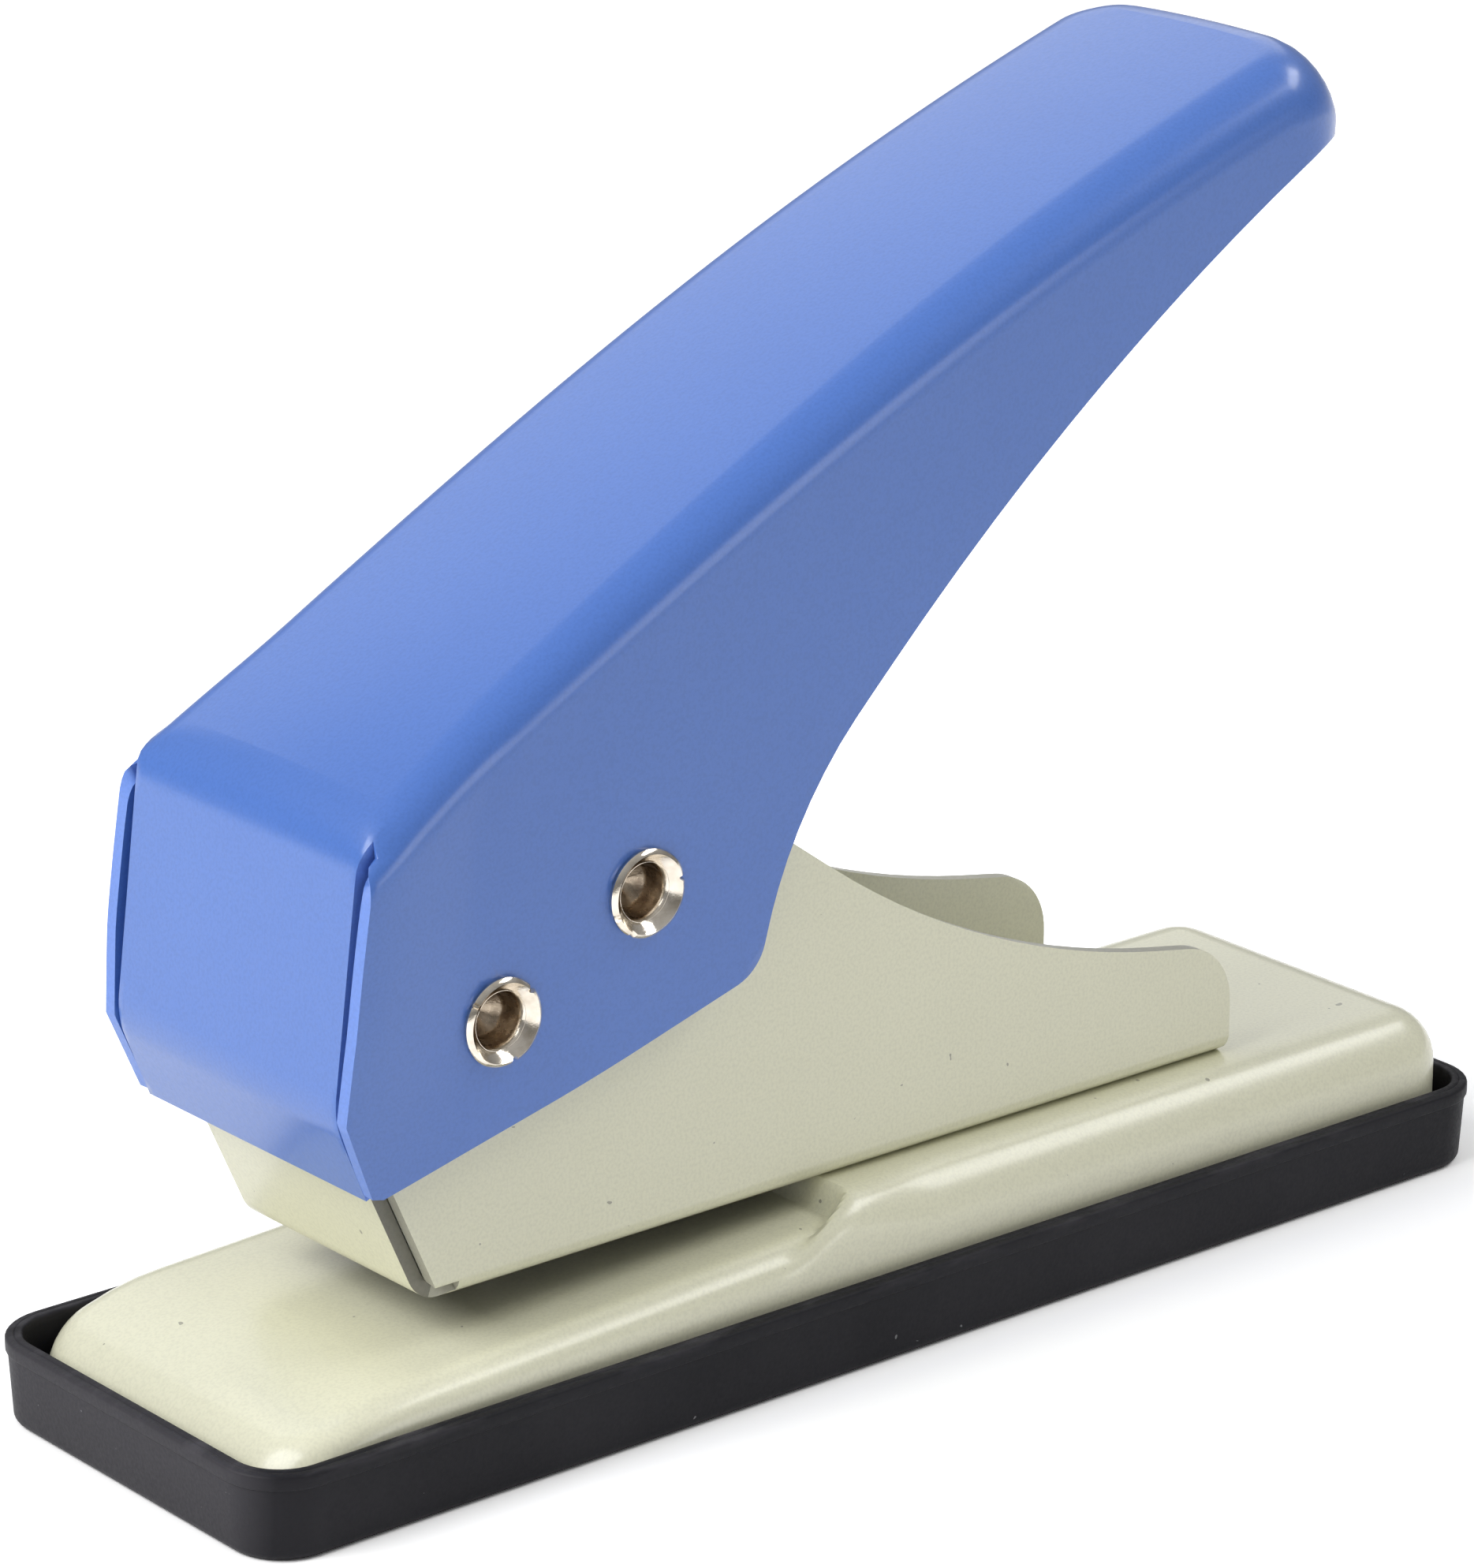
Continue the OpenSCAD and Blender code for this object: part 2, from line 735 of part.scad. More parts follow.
// The lever as a solid with an arched top, rounded long edges and a rounded tip, shrunk for its inside
module lever_mass(shrink) {
    depth = block_rises * top_rise;
    overrun = top_rise / top_radius * 180 / PI;
    corner_r = tip_corner - shrink;
    tip_along = aim(tip_slope);
    tip_up = aim(tip_slope + 90);
    tip_edge = tip - shrink * (tip_along + tip_up);
    difference() {
        intersection() {
            translate([top_centre[0], 0, top_centre[1]])
                rotate([90, 0, 0])
                    rotate([0, 0, 90 + tip_slope - overrun])
                        rotate_extrude(angle = top_slope - tip_slope + 2 * overrun, $fn = arch_steps)
                            translate([top_radius - shrink - depth, 0])
                                rotate([0, 0, -90])
                                    crown_section(lever_w - 2 * shrink, depth, lever_bend - shrink);
            across(lever_w + through)
                polygon(rounded([
                    with_round(tip_edge, tip_round - shrink),
                    with_round(tip_edge - far * tip_along, 0),
                    with_round(tip_edge - far * (tip_along + tip_up), 0),
                    with_round(tip_edge - far * tip_up, 0)
                ]));
        }
        translate([tip[0], 0, tip[1]])
            rotate([0, -tip_slope, 0])
                translate([-shrink, 0, -far / 4])
                    linear_extrude(far / 2)
                        for (side = [0, 1])
                            mirror([0, side])
                                translate([hair - corner_r, hair + lever_w / 2 - shrink - corner_r])
                                    difference() {
                                        square(2 * corner_r);
                                        circle(corner_r);
                                    }
    }
}

module handle() {
    color(paint_blue)
        difference() {
            intersection() {
                lever_mass(0);
                across(lever_w + through)
                    polygon(lever_outline());
            }
            difference() {
                lever_mass(lever_t);
                across(lever_w)
                    polygon(flap_ahead(far));
            }
            // Slits that free the front flap from the sides, up to the bend of the top
            for (y = [-1, 1])
                translate([0, y * (lever_inside + hair - flap_slit / 2), 0])
                    across(flap_slit)
                        polygon(flap_ahead(fold_drop + top_rise * cos(top_slope) - lever_bend));
            bar(pivot, neck_d + 2 * seated, 2 * lever_w);
            bar(drive, neck_d + 2 * seated, 2 * lever_w);
        }
}

chip_tray();
base_plate();
die_ring();
bracket();
punch_guide();
for (i = [0:3])
    base_rivet(i);
shaft(pivot);  // pivot_shaft
spacer(pivot, 1);  // pivot_spacer_left
spacer(pivot, -1);  // pivot_spacer_right
shaft(drive);  // drive_shaft
spacer(drive, 1);  // drive_spacer_left
spacer(drive, -1);  // drive_spacer_right
punch_pin();
spring_washer();
retaining_clip();
return_spring();
handle();
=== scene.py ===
"""Looks of a single hole punch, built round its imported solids.

A pressed blue lever turns on a folded cream bracket, which is riveted to a drawn base in a black chip tray.
Sizes are in millimetres, in the frame of the solids, and become metres when a mesh is made.
"""

import json
import logging
import math
from collections.abc import Callable, Sequence
from dataclasses import dataclass
from enum import Enum

import bmesh
import bpy
from mathutils import Matrix, Vector

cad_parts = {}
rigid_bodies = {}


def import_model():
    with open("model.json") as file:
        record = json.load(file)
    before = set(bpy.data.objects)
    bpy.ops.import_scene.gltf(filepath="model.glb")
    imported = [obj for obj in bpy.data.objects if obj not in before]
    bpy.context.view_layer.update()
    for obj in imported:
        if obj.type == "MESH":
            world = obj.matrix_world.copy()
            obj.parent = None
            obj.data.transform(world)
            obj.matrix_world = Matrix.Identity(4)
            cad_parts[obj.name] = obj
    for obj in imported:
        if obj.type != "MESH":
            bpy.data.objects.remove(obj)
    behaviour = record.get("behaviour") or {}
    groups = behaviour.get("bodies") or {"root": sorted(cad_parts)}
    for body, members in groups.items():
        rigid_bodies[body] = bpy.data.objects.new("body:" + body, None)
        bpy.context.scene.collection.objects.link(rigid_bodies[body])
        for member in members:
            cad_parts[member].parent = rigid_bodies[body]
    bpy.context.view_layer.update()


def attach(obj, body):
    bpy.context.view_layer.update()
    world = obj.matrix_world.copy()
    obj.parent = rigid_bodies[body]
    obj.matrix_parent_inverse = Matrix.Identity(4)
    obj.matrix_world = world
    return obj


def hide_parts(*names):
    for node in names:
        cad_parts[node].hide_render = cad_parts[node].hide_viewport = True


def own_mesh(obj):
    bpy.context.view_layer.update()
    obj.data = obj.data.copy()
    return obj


LOG = logging.getLogger("hole_punch")
MM = 0.001

Flat = tuple[float, float]
Point = tuple[float, float, float]
Row = list[bmesh.types.BMVert]

# Sizes that several pieces share
SHEET = 1.0
PLATEAU_Z = 11.65
FLOOR_Z = PLATEAU_Z + SHEET
TABLE_FALL = 2.4
PUNCH_X = -21.129
PIVOT: Flat = (-33.6, 31.1)
DRIVE: Flat = (-21.849, 37.113)
LEVER_WIDTH = 25.5
SMOOTH_ANGLE = math.radians(32)


class Body(Enum):
    """The bodies that pieces ride on."""

    FRAME = "frame"
    HANDLE = "handle"
    PUNCH = "punch"
    TRAY = "tray"


class Axis(Enum):
    """The direction that a turned piece lies along."""

    ACROSS = "y"
    UP = "z"


class Side(Enum):
    """The near side, which faces the camera, and the far side."""

    NEAR = -1
    FAR = 1

    def pick(self, row: Row, i: int) -> bmesh.types.BMVert:
        """Vertex of a row that runs from near to far, counted from this side."""
        return row[i] if self is Side.NEAR else row[-1 - i]


# Outlines


def ease(t: float) -> float:
    """Smooth step from 0 to 1 as t goes from 0 to 1."""
    t = min(1.0, max(0.0, t))
    return t * t * (3 - 2 * t)


def lerp(a: float, b: float, t: float) -> float:
    """Value that is a share t of the way from a to b."""
    return a + (b - a) * t


def quarter(steps: int) -> list[float]:
    """Angles of a quarter turn, from 0, in equal steps."""
    return [math.pi / 2 * i / steps for i in range(steps + 1)]


def corner_arc(a: Vector, b: Vector, c: Vector, radius: float, steps: int) -> list[Vector]:
    """Round the corner at b of the line from a through b to c.

    Args:
        a: Point before the corner.
        b: The corner.
        c: Point after the corner.
        radius: Radius of the round.
        steps: Straight pieces on the round.

    Returns:
        The points of the round.
    """
    u, v = (a - b).normalized(), (c - b).normalized()
    half = u.angle(v) / 2
    reach = radius / math.tan(half)
    middle = b + (u + v).normalized() * reach / math.cos(half)
    start, end = b + u * reach - middle, b + v * reach - middle
    turn = math.atan2(start.x * end.y - start.y * end.x, start.dot(end))
    return [middle + Matrix.Rotation(turn * i / steps, 2) @ start for i in range(steps + 1)]


def rounded(points: Sequence[Point], steps: int = 10) -> list[Flat]:
    """Open outline with rounded corners.

    Args:
        points: Two coordinates and a corner radius each.
        steps: Straight pieces on each round.

    Returns:
        The outline's points.
    """
    flat = [Vector(p[:2]) for p in points]
    out: list[Flat] = []
    for i, (point, (_, _, radius)) in enumerate(zip(flat, points)):
        if radius > 0:
            out += [tuple(p) for p in corner_arc(flat[i - 1], point, flat[i + 1], radius, steps)]
        else:
            out.append(tuple(point))
    return out


def spaced(path: Sequence[Flat], count: int, focus: Flat | None = None) -> list[Flat]:
    """Points at equal distances along a path, or closer together near one place.

    Args:
        path: The path's own points.
        count: How many points to give.
        focus: Where they lie closer together, if anywhere.

    Returns:
        The new points, with the path's two ends among them.
    """
    focus_gain, focus_reach = 5, 3
    spots = [Vector(p) for p in path]
    runs = [0.0]
    for a, b in zip(spots, spots[1:]):
        apart = ((a + b) / 2 - Vector(focus)).length if focus else math.inf
        weight = 1 + focus_gain * math.exp(-((apart / focus_reach) ** 2))
        runs.append(runs[-1] + (b - a).length * weight)
    out, k = [], 0
    for i in range(count):
        want = runs[-1] * i / (count - 1)
        while k < len(spots) - 2 and runs[k + 1] < want:
            k += 1
        share = (want - runs[k]) / max(runs[k + 1] - runs[k], 1e-9)
        out.append(tuple(spots[k].lerp(spots[k + 1], share)))
    return out


def parted(path: Sequence[Flat], length: float) -> tuple[list[Flat], list[Flat]]:
    """Cut a path in two at a length from its start."""
    run = 0.0
    for i, (a, b) in enumerate(zip(path, path[1:])):
        step = math.dist(a, b)
        if run + step >= length:
            cut = tuple(Vector(a).lerp(Vector(b), (length - run) / step))
            return [*path[: i + 1], cut], [cut, *path[i + 1 :]]
        run += step
    raise ValueError("the path is shorter than that")


def circle(centre: Flat, diameter: float, steps: int = 48) -> list[Flat]:
    """Points of a circle in a plane."""
    x, y = centre
    r = diameter / 2
    turns = (2 * math.pi * i / steps for i in range(steps))
    return [(x + r * math.cos(t), y + r * math.sin(t)) for t in turns]


def chamfered(bore: float, outer: float, low: float, high: float, edge: float) -> list[Flat]:
    """Radius and place of the points of a flat ring with chamfered outer edges."""
    return [
        (bore, low), (outer - edge, low), (outer, low + edge),
        (outer, high - edge), (outer - edge, high), (bore, high),
    ]


# Meshes


class Skin:
    """Collects the faces of one mesh, from points in millimetres."""

    def __init__(self) -> None:
        """Start with no faces."""
        self.bm = bmesh.new()

    def row(self, points: Sequence[Point]) -> Row:
        """New vertices at these points."""
        return [self.bm.verts.new(Vector(p) * MM) for p in points]

    def bridge(self, a: Row, b: Row, closed: bool = False) -> None:
        """Faces between two rows of the same length.

        Args:
            a: One row.
            b: The other row, which may share vertices with the first.
            closed: Whether each row's last vertex joins its first.
        """
        for i in range(len(a) if closed else len(a) - 1):
            j = (i + 1) % len(a)
            corners = list(dict.fromkeys((a[i], a[j], b[j], b[i])))
            if len(corners) > 2:
                self.bm.faces.new(corners)

    def grid(self, rows: Sequence[Row], closed: bool = False) -> None:
        """Faces between each row and the next."""
        for a, b in zip(rows, rows[1:]):
            self.bridge(a, b, closed)

    def cap(self, row: Row) -> None:
        """One flat face on a closed row."""
        self.bm.faces.new(row)

    def fill(self, outer: Row, holes: Sequence[Row] = ()) -> None:
        """Flat triangles inside a closed row, with holes left open.

        Args:
            outer: The region's boundary.
            holes: Boundaries of the holes in it.
        """
        edges = []
        for loop in (outer, *holes):
            for a, b in zip(loop, [*loop[1:], loop[0]]):
                edges.append(self.bm.edges.get((a, b)) or self.bm.edges.new((a, b)))
        bmesh.ops.triangle_fill(self.bm, edges=edges, use_beauty=True, use_dissolve=False)

    def make(self, name: str, open_round: Point | None = None) -> bpy.types.Object:
        """Weld the faces, turn them outwards and make the object.

        Args:
            name: The object's name.
            open_round: For an open sheet, a point that its inner face looks at.

        Returns:
            The object, at the origin.
        """
        bmesh.ops.remove_doubles(self.bm, verts=self.bm.verts, dist=1e-7)
        bmesh.ops.recalc_face_normals(self.bm, faces=self.bm.faces)
        if open_round is not None:
            inside = Vector(open_round) * MM
            lean = sum((f.calc_center_median() - inside).dot(f.normal) * f.calc_area() for f in self.bm.faces)
            if lean < 0:
                bmesh.ops.reverse_faces(self.bm, faces=self.bm.faces)
        mesh = bpy.data.meshes.new(name)
        self.bm.to_mesh(mesh)
        self.bm.free()
        mesh.shade_smooth()
        obj = bpy.data.objects.new(name, mesh)
        bpy.context.scene.collection.objects.link(obj)
        return obj


def settle(obj: bpy.types.Object, sharpen: bool = True) -> bpy.types.Object:
    """Turn an object's modifiers into its own plain mesh, smooth but for its sharp edges.

    Args:
        obj: The object.
        sharpen: Whether edges are sharp by their angle, or the modifiers have set the normals.

    Returns:
        The same object.
    """
    graph = bpy.context.evaluated_depsgraph_get()
    mesh = bpy.data.meshes.new_from_object(obj.evaluated_get(graph))
    old = obj.data
    obj.modifiers.clear()
    obj.data = mesh
    bpy.data.meshes.remove(old)
    mesh.name = obj.name
    if sharpen:
        mesh.shade_smooth()
        mesh.set_sharp_from_angle(angle=SMOOTH_ANGLE)
    return obj


def sheet_metal(obj: bpy.types.Object, thickness: float, edge: float) -> bpy.types.Object:
    """Give an open skin its sheet thickness, inwards, with softened cut edges.

    Args:
        obj: The skin, whose second material is for cut edges.
        thickness: Sheet thickness.
        edge: Radius of the softened edges.

    Returns:
        The same object with a plain mesh.
    """
    solid = obj.modifiers.new("sheet", "SOLIDIFY")
    solid.thickness = thickness * MM
    solid.offset = -1
    solid.use_even_offset = True
    solid.use_quality_normals = True
    solid.material_offset_rim = 1
    soft = obj.modifiers.new("edges", "BEVEL")
    soft.width = edge * MM
    soft.segments = 2
    soft.limit_method = "ANGLE"
    soft.angle_limit = math.radians(50)
    soft.material = -1
    flat = obj.modifiers.new("normals", "WEIGHTED_NORMAL")
    flat.weight = 80
    return settle(obj, sharpen=False)


def turned(
    name: str, profile: Sequence[Flat], centre: Point, axis: Axis, ring: bool = False, steps: int = 72,
    warp: Callable[[float, float, float], Flat] | None = None,
) -> bpy.types.Object:
    """Piece made by turning a profile about an axis.

    Args:
        name: The object's name.
        profile: Radius and place along the axis of each point.
        centre: Where the axis has its zero.
        axis: The direction of the axis.
        ring: Whether the profile closes on itself, as that of a washer does.
        steps: Steps of the full turn.
        warp: Gives a changed radius and place from an angle, a radius and a place.

    Returns:
        The finished object.
    """
    skin = Skin()
    rows = []
    for radius, along in profile:
        points = []
        for i in range(steps):
            angle = 2 * math.pi * i / steps
            r, h = warp(angle, radius, along) if warp else (radius, along)
            u, v = r * math.cos(angle), r * math.sin(angle)
            local = (u, h, -v) if axis is Axis.ACROSS else (u, v, h)
            points.append(tuple(c + p for c, p in zip(centre, local)))
        rows.append(skin.row(points))
    skin.grid(rows, closed=True)
    if ring:
        skin.bridge(rows[-1], rows[0], closed=True)
    else:
        skin.cap(rows[0])
        skin.cap(rows[-1])
    return settle(skin.make(name))


# Finishes


class Graph:
    """A node tree, with short ways to add to it."""

    def __init__(self, tree: bpy.types.NodeTree) -> None:
        """Take the tree."""
        self.tree = tree

    def node(self, kind: str, **settings: object) -> bpy.types.Node:
        """Add a node with these attributes."""
        made = self.tree.nodes.new(kind)
        for key, value in settings.items():
            setattr(made, key, value)
        return made

    def link(self, source: bpy.types.NodeSocket, target: bpy.types.NodeSocket) -> None:
        """Join two sockets."""
        self.tree.links.new(source, target)

    def range(self, value: bpy.types.NodeSocket, low: float, high: float, to: Flat) -> bpy.types.NodeSocket:
        """Map a value from low and high to two others, without going past them."""
        made = self.node("ShaderNodeMapRange", clamp=True)
        for key, number in (("From Min", low), ("From Max", high), ("To Min", to[0]), ("To Max", to[1])):
            made.inputs[key].default_value = number
        self.link(value, made.inputs["Value"])
        return made.outputs["Result"]


class Shade(Graph):
    """A new material with its shader."""

    def __init__(self, name: str) -> None:
        """Make the material, with patterns on Object coordinates."""
        self.material = bpy.data.materials.new(name)
        self.material.use_nodes = True
        super().__init__(self.material.node_tree)
        self.shader = self.tree.nodes["Principled BSDF"]
        self.place = self.node("ShaderNodeTexCoord").outputs["Object"]

    def set(self, **values: object) -> None:
        """Set constants on the shader's own sockets, named with _ for spaces."""
        for key, value in values.items():
            self.shader.inputs[key.replace("_", " ")].default_value = value

    def noise(self, scale: float, detail: float = 2.0, stretch: Point = (1, 1, 1)) -> bpy.types.NodeSocket:
        """Noise pattern.

        Args:
            scale: Features to a metre.
            detail: Finer layers.
            stretch: Scale along each axis.

        Returns:
            The noise's value.
        """
        source = self.place
        if stretch != (1, 1, 1):
            mapping = self.node("ShaderNodeMapping")
            mapping.inputs["Scale"].default_value = stretch
            self.link(self.place, mapping.inputs["Vector"])
            source = mapping.outputs["Vector"]
        pattern = self.node("ShaderNodeTexNoise")
        pattern.inputs["Scale"].default_value = scale
        pattern.inputs["Detail"].default_value = detail
        self.link(source, pattern.inputs["Vector"])
        return pattern.outputs["Fac"]

    def multiply(self, a: bpy.types.NodeSocket, b: bpy.types.NodeSocket) -> bpy.types.NodeSocket:
        """Product of two values."""
        made = self.node("ShaderNodeMath", operation="MULTIPLY")
        self.link(a, made.inputs[0])
        self.link(b, made.inputs[1])
        return made.outputs[0]

    def mix(self, share: bpy.types.NodeSocket, a: object, b: object) -> bpy.types.NodeSocket:
        """Blend two colours.

        Args:
            share: How much of the second.
            a: First colour, or a socket that gives it.
            b: Second colour, or a socket that gives it.

        Returns:
            The blended colour.
        """
        made = self.node("ShaderNodeMix", data_type="RGBA")
        self.link(share, made.inputs["Factor"])
        for key, value in (("A", a), ("B", b)):
            socket = next(s for s in made.inputs if s.name == key and s.type == "RGBA")
            if isinstance(value, bpy.types.NodeSocket):
                self.link(value, socket)
            else:
                socket.default_value = (*value, 1)
        return next(s for s in made.outputs if s.type == "RGBA")

    def bump(self, height: bpy.types.NodeSocket, depth: float) -> None:
        """Bump over whatever bump is there already; depth is in millimetres."""
        made = self.node("ShaderNodeBump")
        made.inputs["Strength"].default_value = 1.0
        made.inputs["Distance"].default_value = depth * MM
        self.link(height, made.inputs["Height"])
        before = self.shader.inputs["Normal"].links
        if before:
            self.link(before[0].from_socket, made.inputs["Normal"])
        self.link(made.outputs["Normal"], self.shader.inputs["Normal"])


@dataclass(frozen=True)
class Paint:
    """Stoved paint on sheet steel, with fine grain, a clear gloss and, if speck is set, dark specks."""

    name: str
    colour: Point
    shadow: Point
    roughness: Flat
    coat: float
    grain: float
    speck: float = 0.0

    def material(self) -> bpy.types.Material:
        """Make the material."""
        shade = Shade(f"{self.name}_finish")
        shade.set(Coat_Weight=self.coat, Coat_Roughness=0.20, Specular_IOR_Level=0.35)
        cloud = shade.range(shade.noise(55, 3), 0.3, 0.7, (0, 1))
        grain = shade.noise(2600, 2)
        tone = shade.mix(cloud, self.colour, self.shadow)
        fleck = tuple(0.7 * c for c in self.shadow)
        tone = shade.mix(shade.range(shade.noise(4200, 1), 0.4, 0.7, (0, 0.25)), tone, fleck)
        if self.speck:
            specks = shade.range(shade.noise(1500, 0), 0.885 - self.speck, 0.90 - self.speck, (0, 0.6))
            tone = shade.mix(specks, tone, (0.12, 0.11, 0.09))
        shade.link(tone, shade.shader.inputs["Base Color"])
        shade.link(shade.range(grain, 0.3, 0.7, self.roughness), shade.shader.inputs["Roughness"])
        shade.bump(grain, self.grain)
        shade.bump(shade.noise(180, 1), self.grain * 1.5)
        return shade.material


@dataclass(frozen=True)
class Moulded:
    """Moulded plastic with a fine matte texture, with scratches and painted light where it has a rim and a
    front end set.

    The rim's two heights are where the scratches along it start and end; they are lightened partly as painted
    highlight. The front end's two places along the part are where its face is painted lighter, as painted
    light.
    """

    name: str
    colour: Point
    scuff_and_painted_light: Point
    roughness: Flat
    rim: Flat | None = None
    # where the front end's face is painted lighter, as painted light
    wear_and_painted_light: Flat | None = None

    def material(self) -> bpy.types.Material:
        """Make the material."""
        shade = Shade(f"{self.name}_finish")
        shade.set(Specular_IOR_Level=0.15)
        fine = shade.noise(3800, 2)
        cloud = shade.range(shade.noise(70, 3), 0.35, 0.7, (0, 0.12))
        tone = shade.mix(cloud, self.colour, self.scuff_and_painted_light)
        if self.rim and self.wear_and_painted_light:
            parts = shade.node("ShaderNodeSeparateXYZ")
            shade.link(shade.place, parts.inputs["Vector"])
            # Painted light: the front end's face is painted lighter, as if lit.
            ahead = shade.range(parts.outputs["X"], *(x * MM for x in self.wear_and_painted_light), (0.42, 0))
            tone = shade.mix(ahead, tone, self.scuff_and_painted_light)
            # Scratches along the rim, lightened partly as painted highlight.
            high = shade.range(parts.outputs["Z"], *(z * MM for z in self.rim), (0, 1))
            rub_and_highlight = shade.range(shade.noise(700, 4, (0.25, 1, 1)), 0.5, 0.72, (0, 0.55))
            tone = shade.mix(shade.multiply(high, rub_and_highlight), tone, self.scuff_and_painted_light)
            dust = shade.range(shade.noise(1800, 0), 0.88, 0.90, (0, 0.6))
            tone = shade.mix(dust, tone, (0.30, 0.30, 0.31))
        shade.link(tone, shade.shader.inputs["Base Color"])
        shade.link(shade.range(fine, 0.3, 0.7, self.roughness), shade.shader.inputs["Roughness"])
        shade.bump(fine, 0.012)
        shade.bump(shade.noise(260, 2), 0.02)
        return shade.material


@dataclass(frozen=True)
class Metal:
    """Bare or plated metal with fine marks left by the tool."""

    name: str
    colour: Point
    stain: Point
    roughness: Flat
    marks: float

    def material(self) -> bpy.types.Material:
        """Make the material."""
        shade = Shade(f"{self.name}_finish")
        shade.set(Metallic=1.0)
        cloud = shade.range(shade.noise(900, 3), 0.42, 0.72, (0, 1))
        shade.link(shade.mix(cloud, self.colour, self.stain), shade.shader.inputs["Base Color"])
        wear_and_painted_light = shade.range(shade.noise(2400, 3), 0.3, 0.7, self.roughness)
        shade.link(wear_and_painted_light, shade.shader.inputs["Roughness"])
        shade.bump(shade.noise(1500, 3, (1, 6, 6)), self.marks)
        return shade.material


class Finish(Enum):
    """The finishes of the punch's pieces: the main ones, and others for cut edges, hollows and painted shade.
    """

    BLUE = Paint("blue_paint", (0.076, 0.185, 0.575), (0.073, 0.178, 0.558), (0.30, 0.38), 0.6, 0.008)
    # Cut-edge paint of the blue sheet, lighter than the blue partly as painted highlight along the edges.
    BLUE_EDGE = Paint("blue_paint_edge", (0.15, 0.28, 0.74), (0.13, 0.25, 0.70), (0.35, 0.5), 0.3, 0.008)
    CREAM = Paint("cream_paint", (0.80, 0.79, 0.60), (0.78, 0.77, 0.585), (0.30, 0.38), 0.6, 0.009, 0.012)
    # Cut-edge paint of the cream sheet, darker than the cream partly as painted shade of edges in the slots.
    CREAM_EDGE = Paint("cream_paint_edge", (0.52, 0.51, 0.42), (0.46, 0.45, 0.37), (0.4, 0.55), 0.1, 0.008)
    # The tray's front end is painted lighter as painted light, and its rim scratches are lightened partly as
    # painted highlight.
    TRAY = Moulded(
        "tray_plastic", (0.009, 0.0088, 0.0118), (0.084, 0.080, 0.090), (0.45, 0.58),
        rim=(5.5, 6.2), wear_and_painted_light=(-54.9, -53.4),
    )
    NYLON = Moulded("spacer_nylon", (0.72, 0.72, 0.66), (0.60, 0.60, 0.55), (0.4, 0.5))
    NICKEL = Metal("nickel", (0.80, 0.74, 0.65), (0.62, 0.55, 0.45), (0.08, 0.2), 0.006)
    NICKEL_HOLLOW = Metal("nickel_hollow", (0.46, 0.38, 0.29), (0.20, 0.15, 0.11), (0.2, 0.4), 0.012)
    # Painted shade: a dark underside for the bracket's floor, which deepens the shadow under it.
    BARE = Paint("bare_primer", (0.10, 0.10, 0.095), (0.08, 0.08, 0.075), (0.5, 0.65), 0.0, 0.008)
    # Painted shade: dark cut edges of the tab, where the slot beside it is in shadow.
    SHEARED = Paint("sheared_edge", (0.26, 0.25, 0.20), (0.20, 0.195, 0.16), (0.4, 0.55), 0.1, 0.008)
    STEEL = Metal("tool_steel", (0.58, 0.58, 0.59), (0.48, 0.48, 0.49), (0.22, 0.34), 0.008)
    SPRING = Metal("spring_steel", (0.44, 0.44, 0.46), (0.34, 0.33, 0.33), (0.25, 0.38), 0.006)

    @property
    def material(self) -> bpy.types.Material:
        """The finish's material, made once."""
        return bpy.data.materials.get(f"{self.value.name}_finish") or self.value.material()


def coat(obj: bpy.types.Object, *finishes: Finish) -> bpy.types.Object:
    """Give an object these finishes, in the order of its material slots."""
    obj.data.materials.clear()
    for finish in finishes:
        obj.data.materials.append(finish.material)
    return obj


def fit(obj: bpy.types.Object, body: Body, finish: Finish, *nodes: str) -> bpy.types.Object:
    """Set a finished piece on its body, in place of its solids.

    Args:
        obj: The piece.
        body: The body that it moves with.
        finish: Not used.
        nodes: The solids that it stands for.

    Returns:
        The same piece.
    """
    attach(obj, body.value)
    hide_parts(*nodes)
    LOG.info("%s rides on %s for %s", obj.name, body.value, ", ".join(nodes))
    return obj


# Sub-assemblies


@dataclass
class RoundedPlan:
    """Rectangle with rounded corners, seen from above, as rings that share their stations."""

    length: float
    width: float
    corner: float
    stations: Sequence[float]
    end_steps: int = 6
    corner_steps: int = 10

    def half(self, inset: float) -> tuple[list[Flat], list[Flat], list[Flat]]:
        """Front end, near side and rear end of the ring at an inset."""
        half_l, half_w = self.length / 2, self.width / 2
        flat = half_w - self.corner
        ends = [lerp(-flat, flat, i / (2 * self.end_steps)) for i in range(2 * self.end_steps + 1)]
        radius = self.corner - inset
        start, turns = self.corner - half_l, quarter(self.corner_steps)[1:-1]
        front_arc = [(start - radius * math.cos(t), -flat - radius * math.sin(t)) for t in turns]
        rear_arc = [(-x, y) for x, y in reversed(front_arc)]
        side = [(x, inset - half_w) for x in self.stations]
        front = [(inset - half_l, y) for y in ends]
        rear = [(half_l - inset, y) for y in ends]
        return front, [*front_arc, *side, *rear_arc], rear

    def ring(self, inset: float) -> list[Flat]:
        """The whole ring at an inset, from the front end round by the near side."""
        front, near, rear = self.half(inset)
        far = [(x, -y) for x, y in reversed(near)]
        return [*reversed(front), *near, *rear, *far]

    def rows(self, ring: Row) -> tuple[Row, list[tuple[bmesh.types.BMVert, bmesh.types.BMVert]], Row]:
        """Split a ring's vertices into its front end, its near and far pairs, and its rear end."""
        ends = 2 * self.end_steps + 1
        sides = (len(ring) - 2 * ends) // 2
        near = ring[ends : ends + sides]
        far = ring[2 * ends + sides :]
        return ring[ends - 1 :: -1], list(zip(near, reversed(far))), ring[ends + sides : 2 * ends + sides]


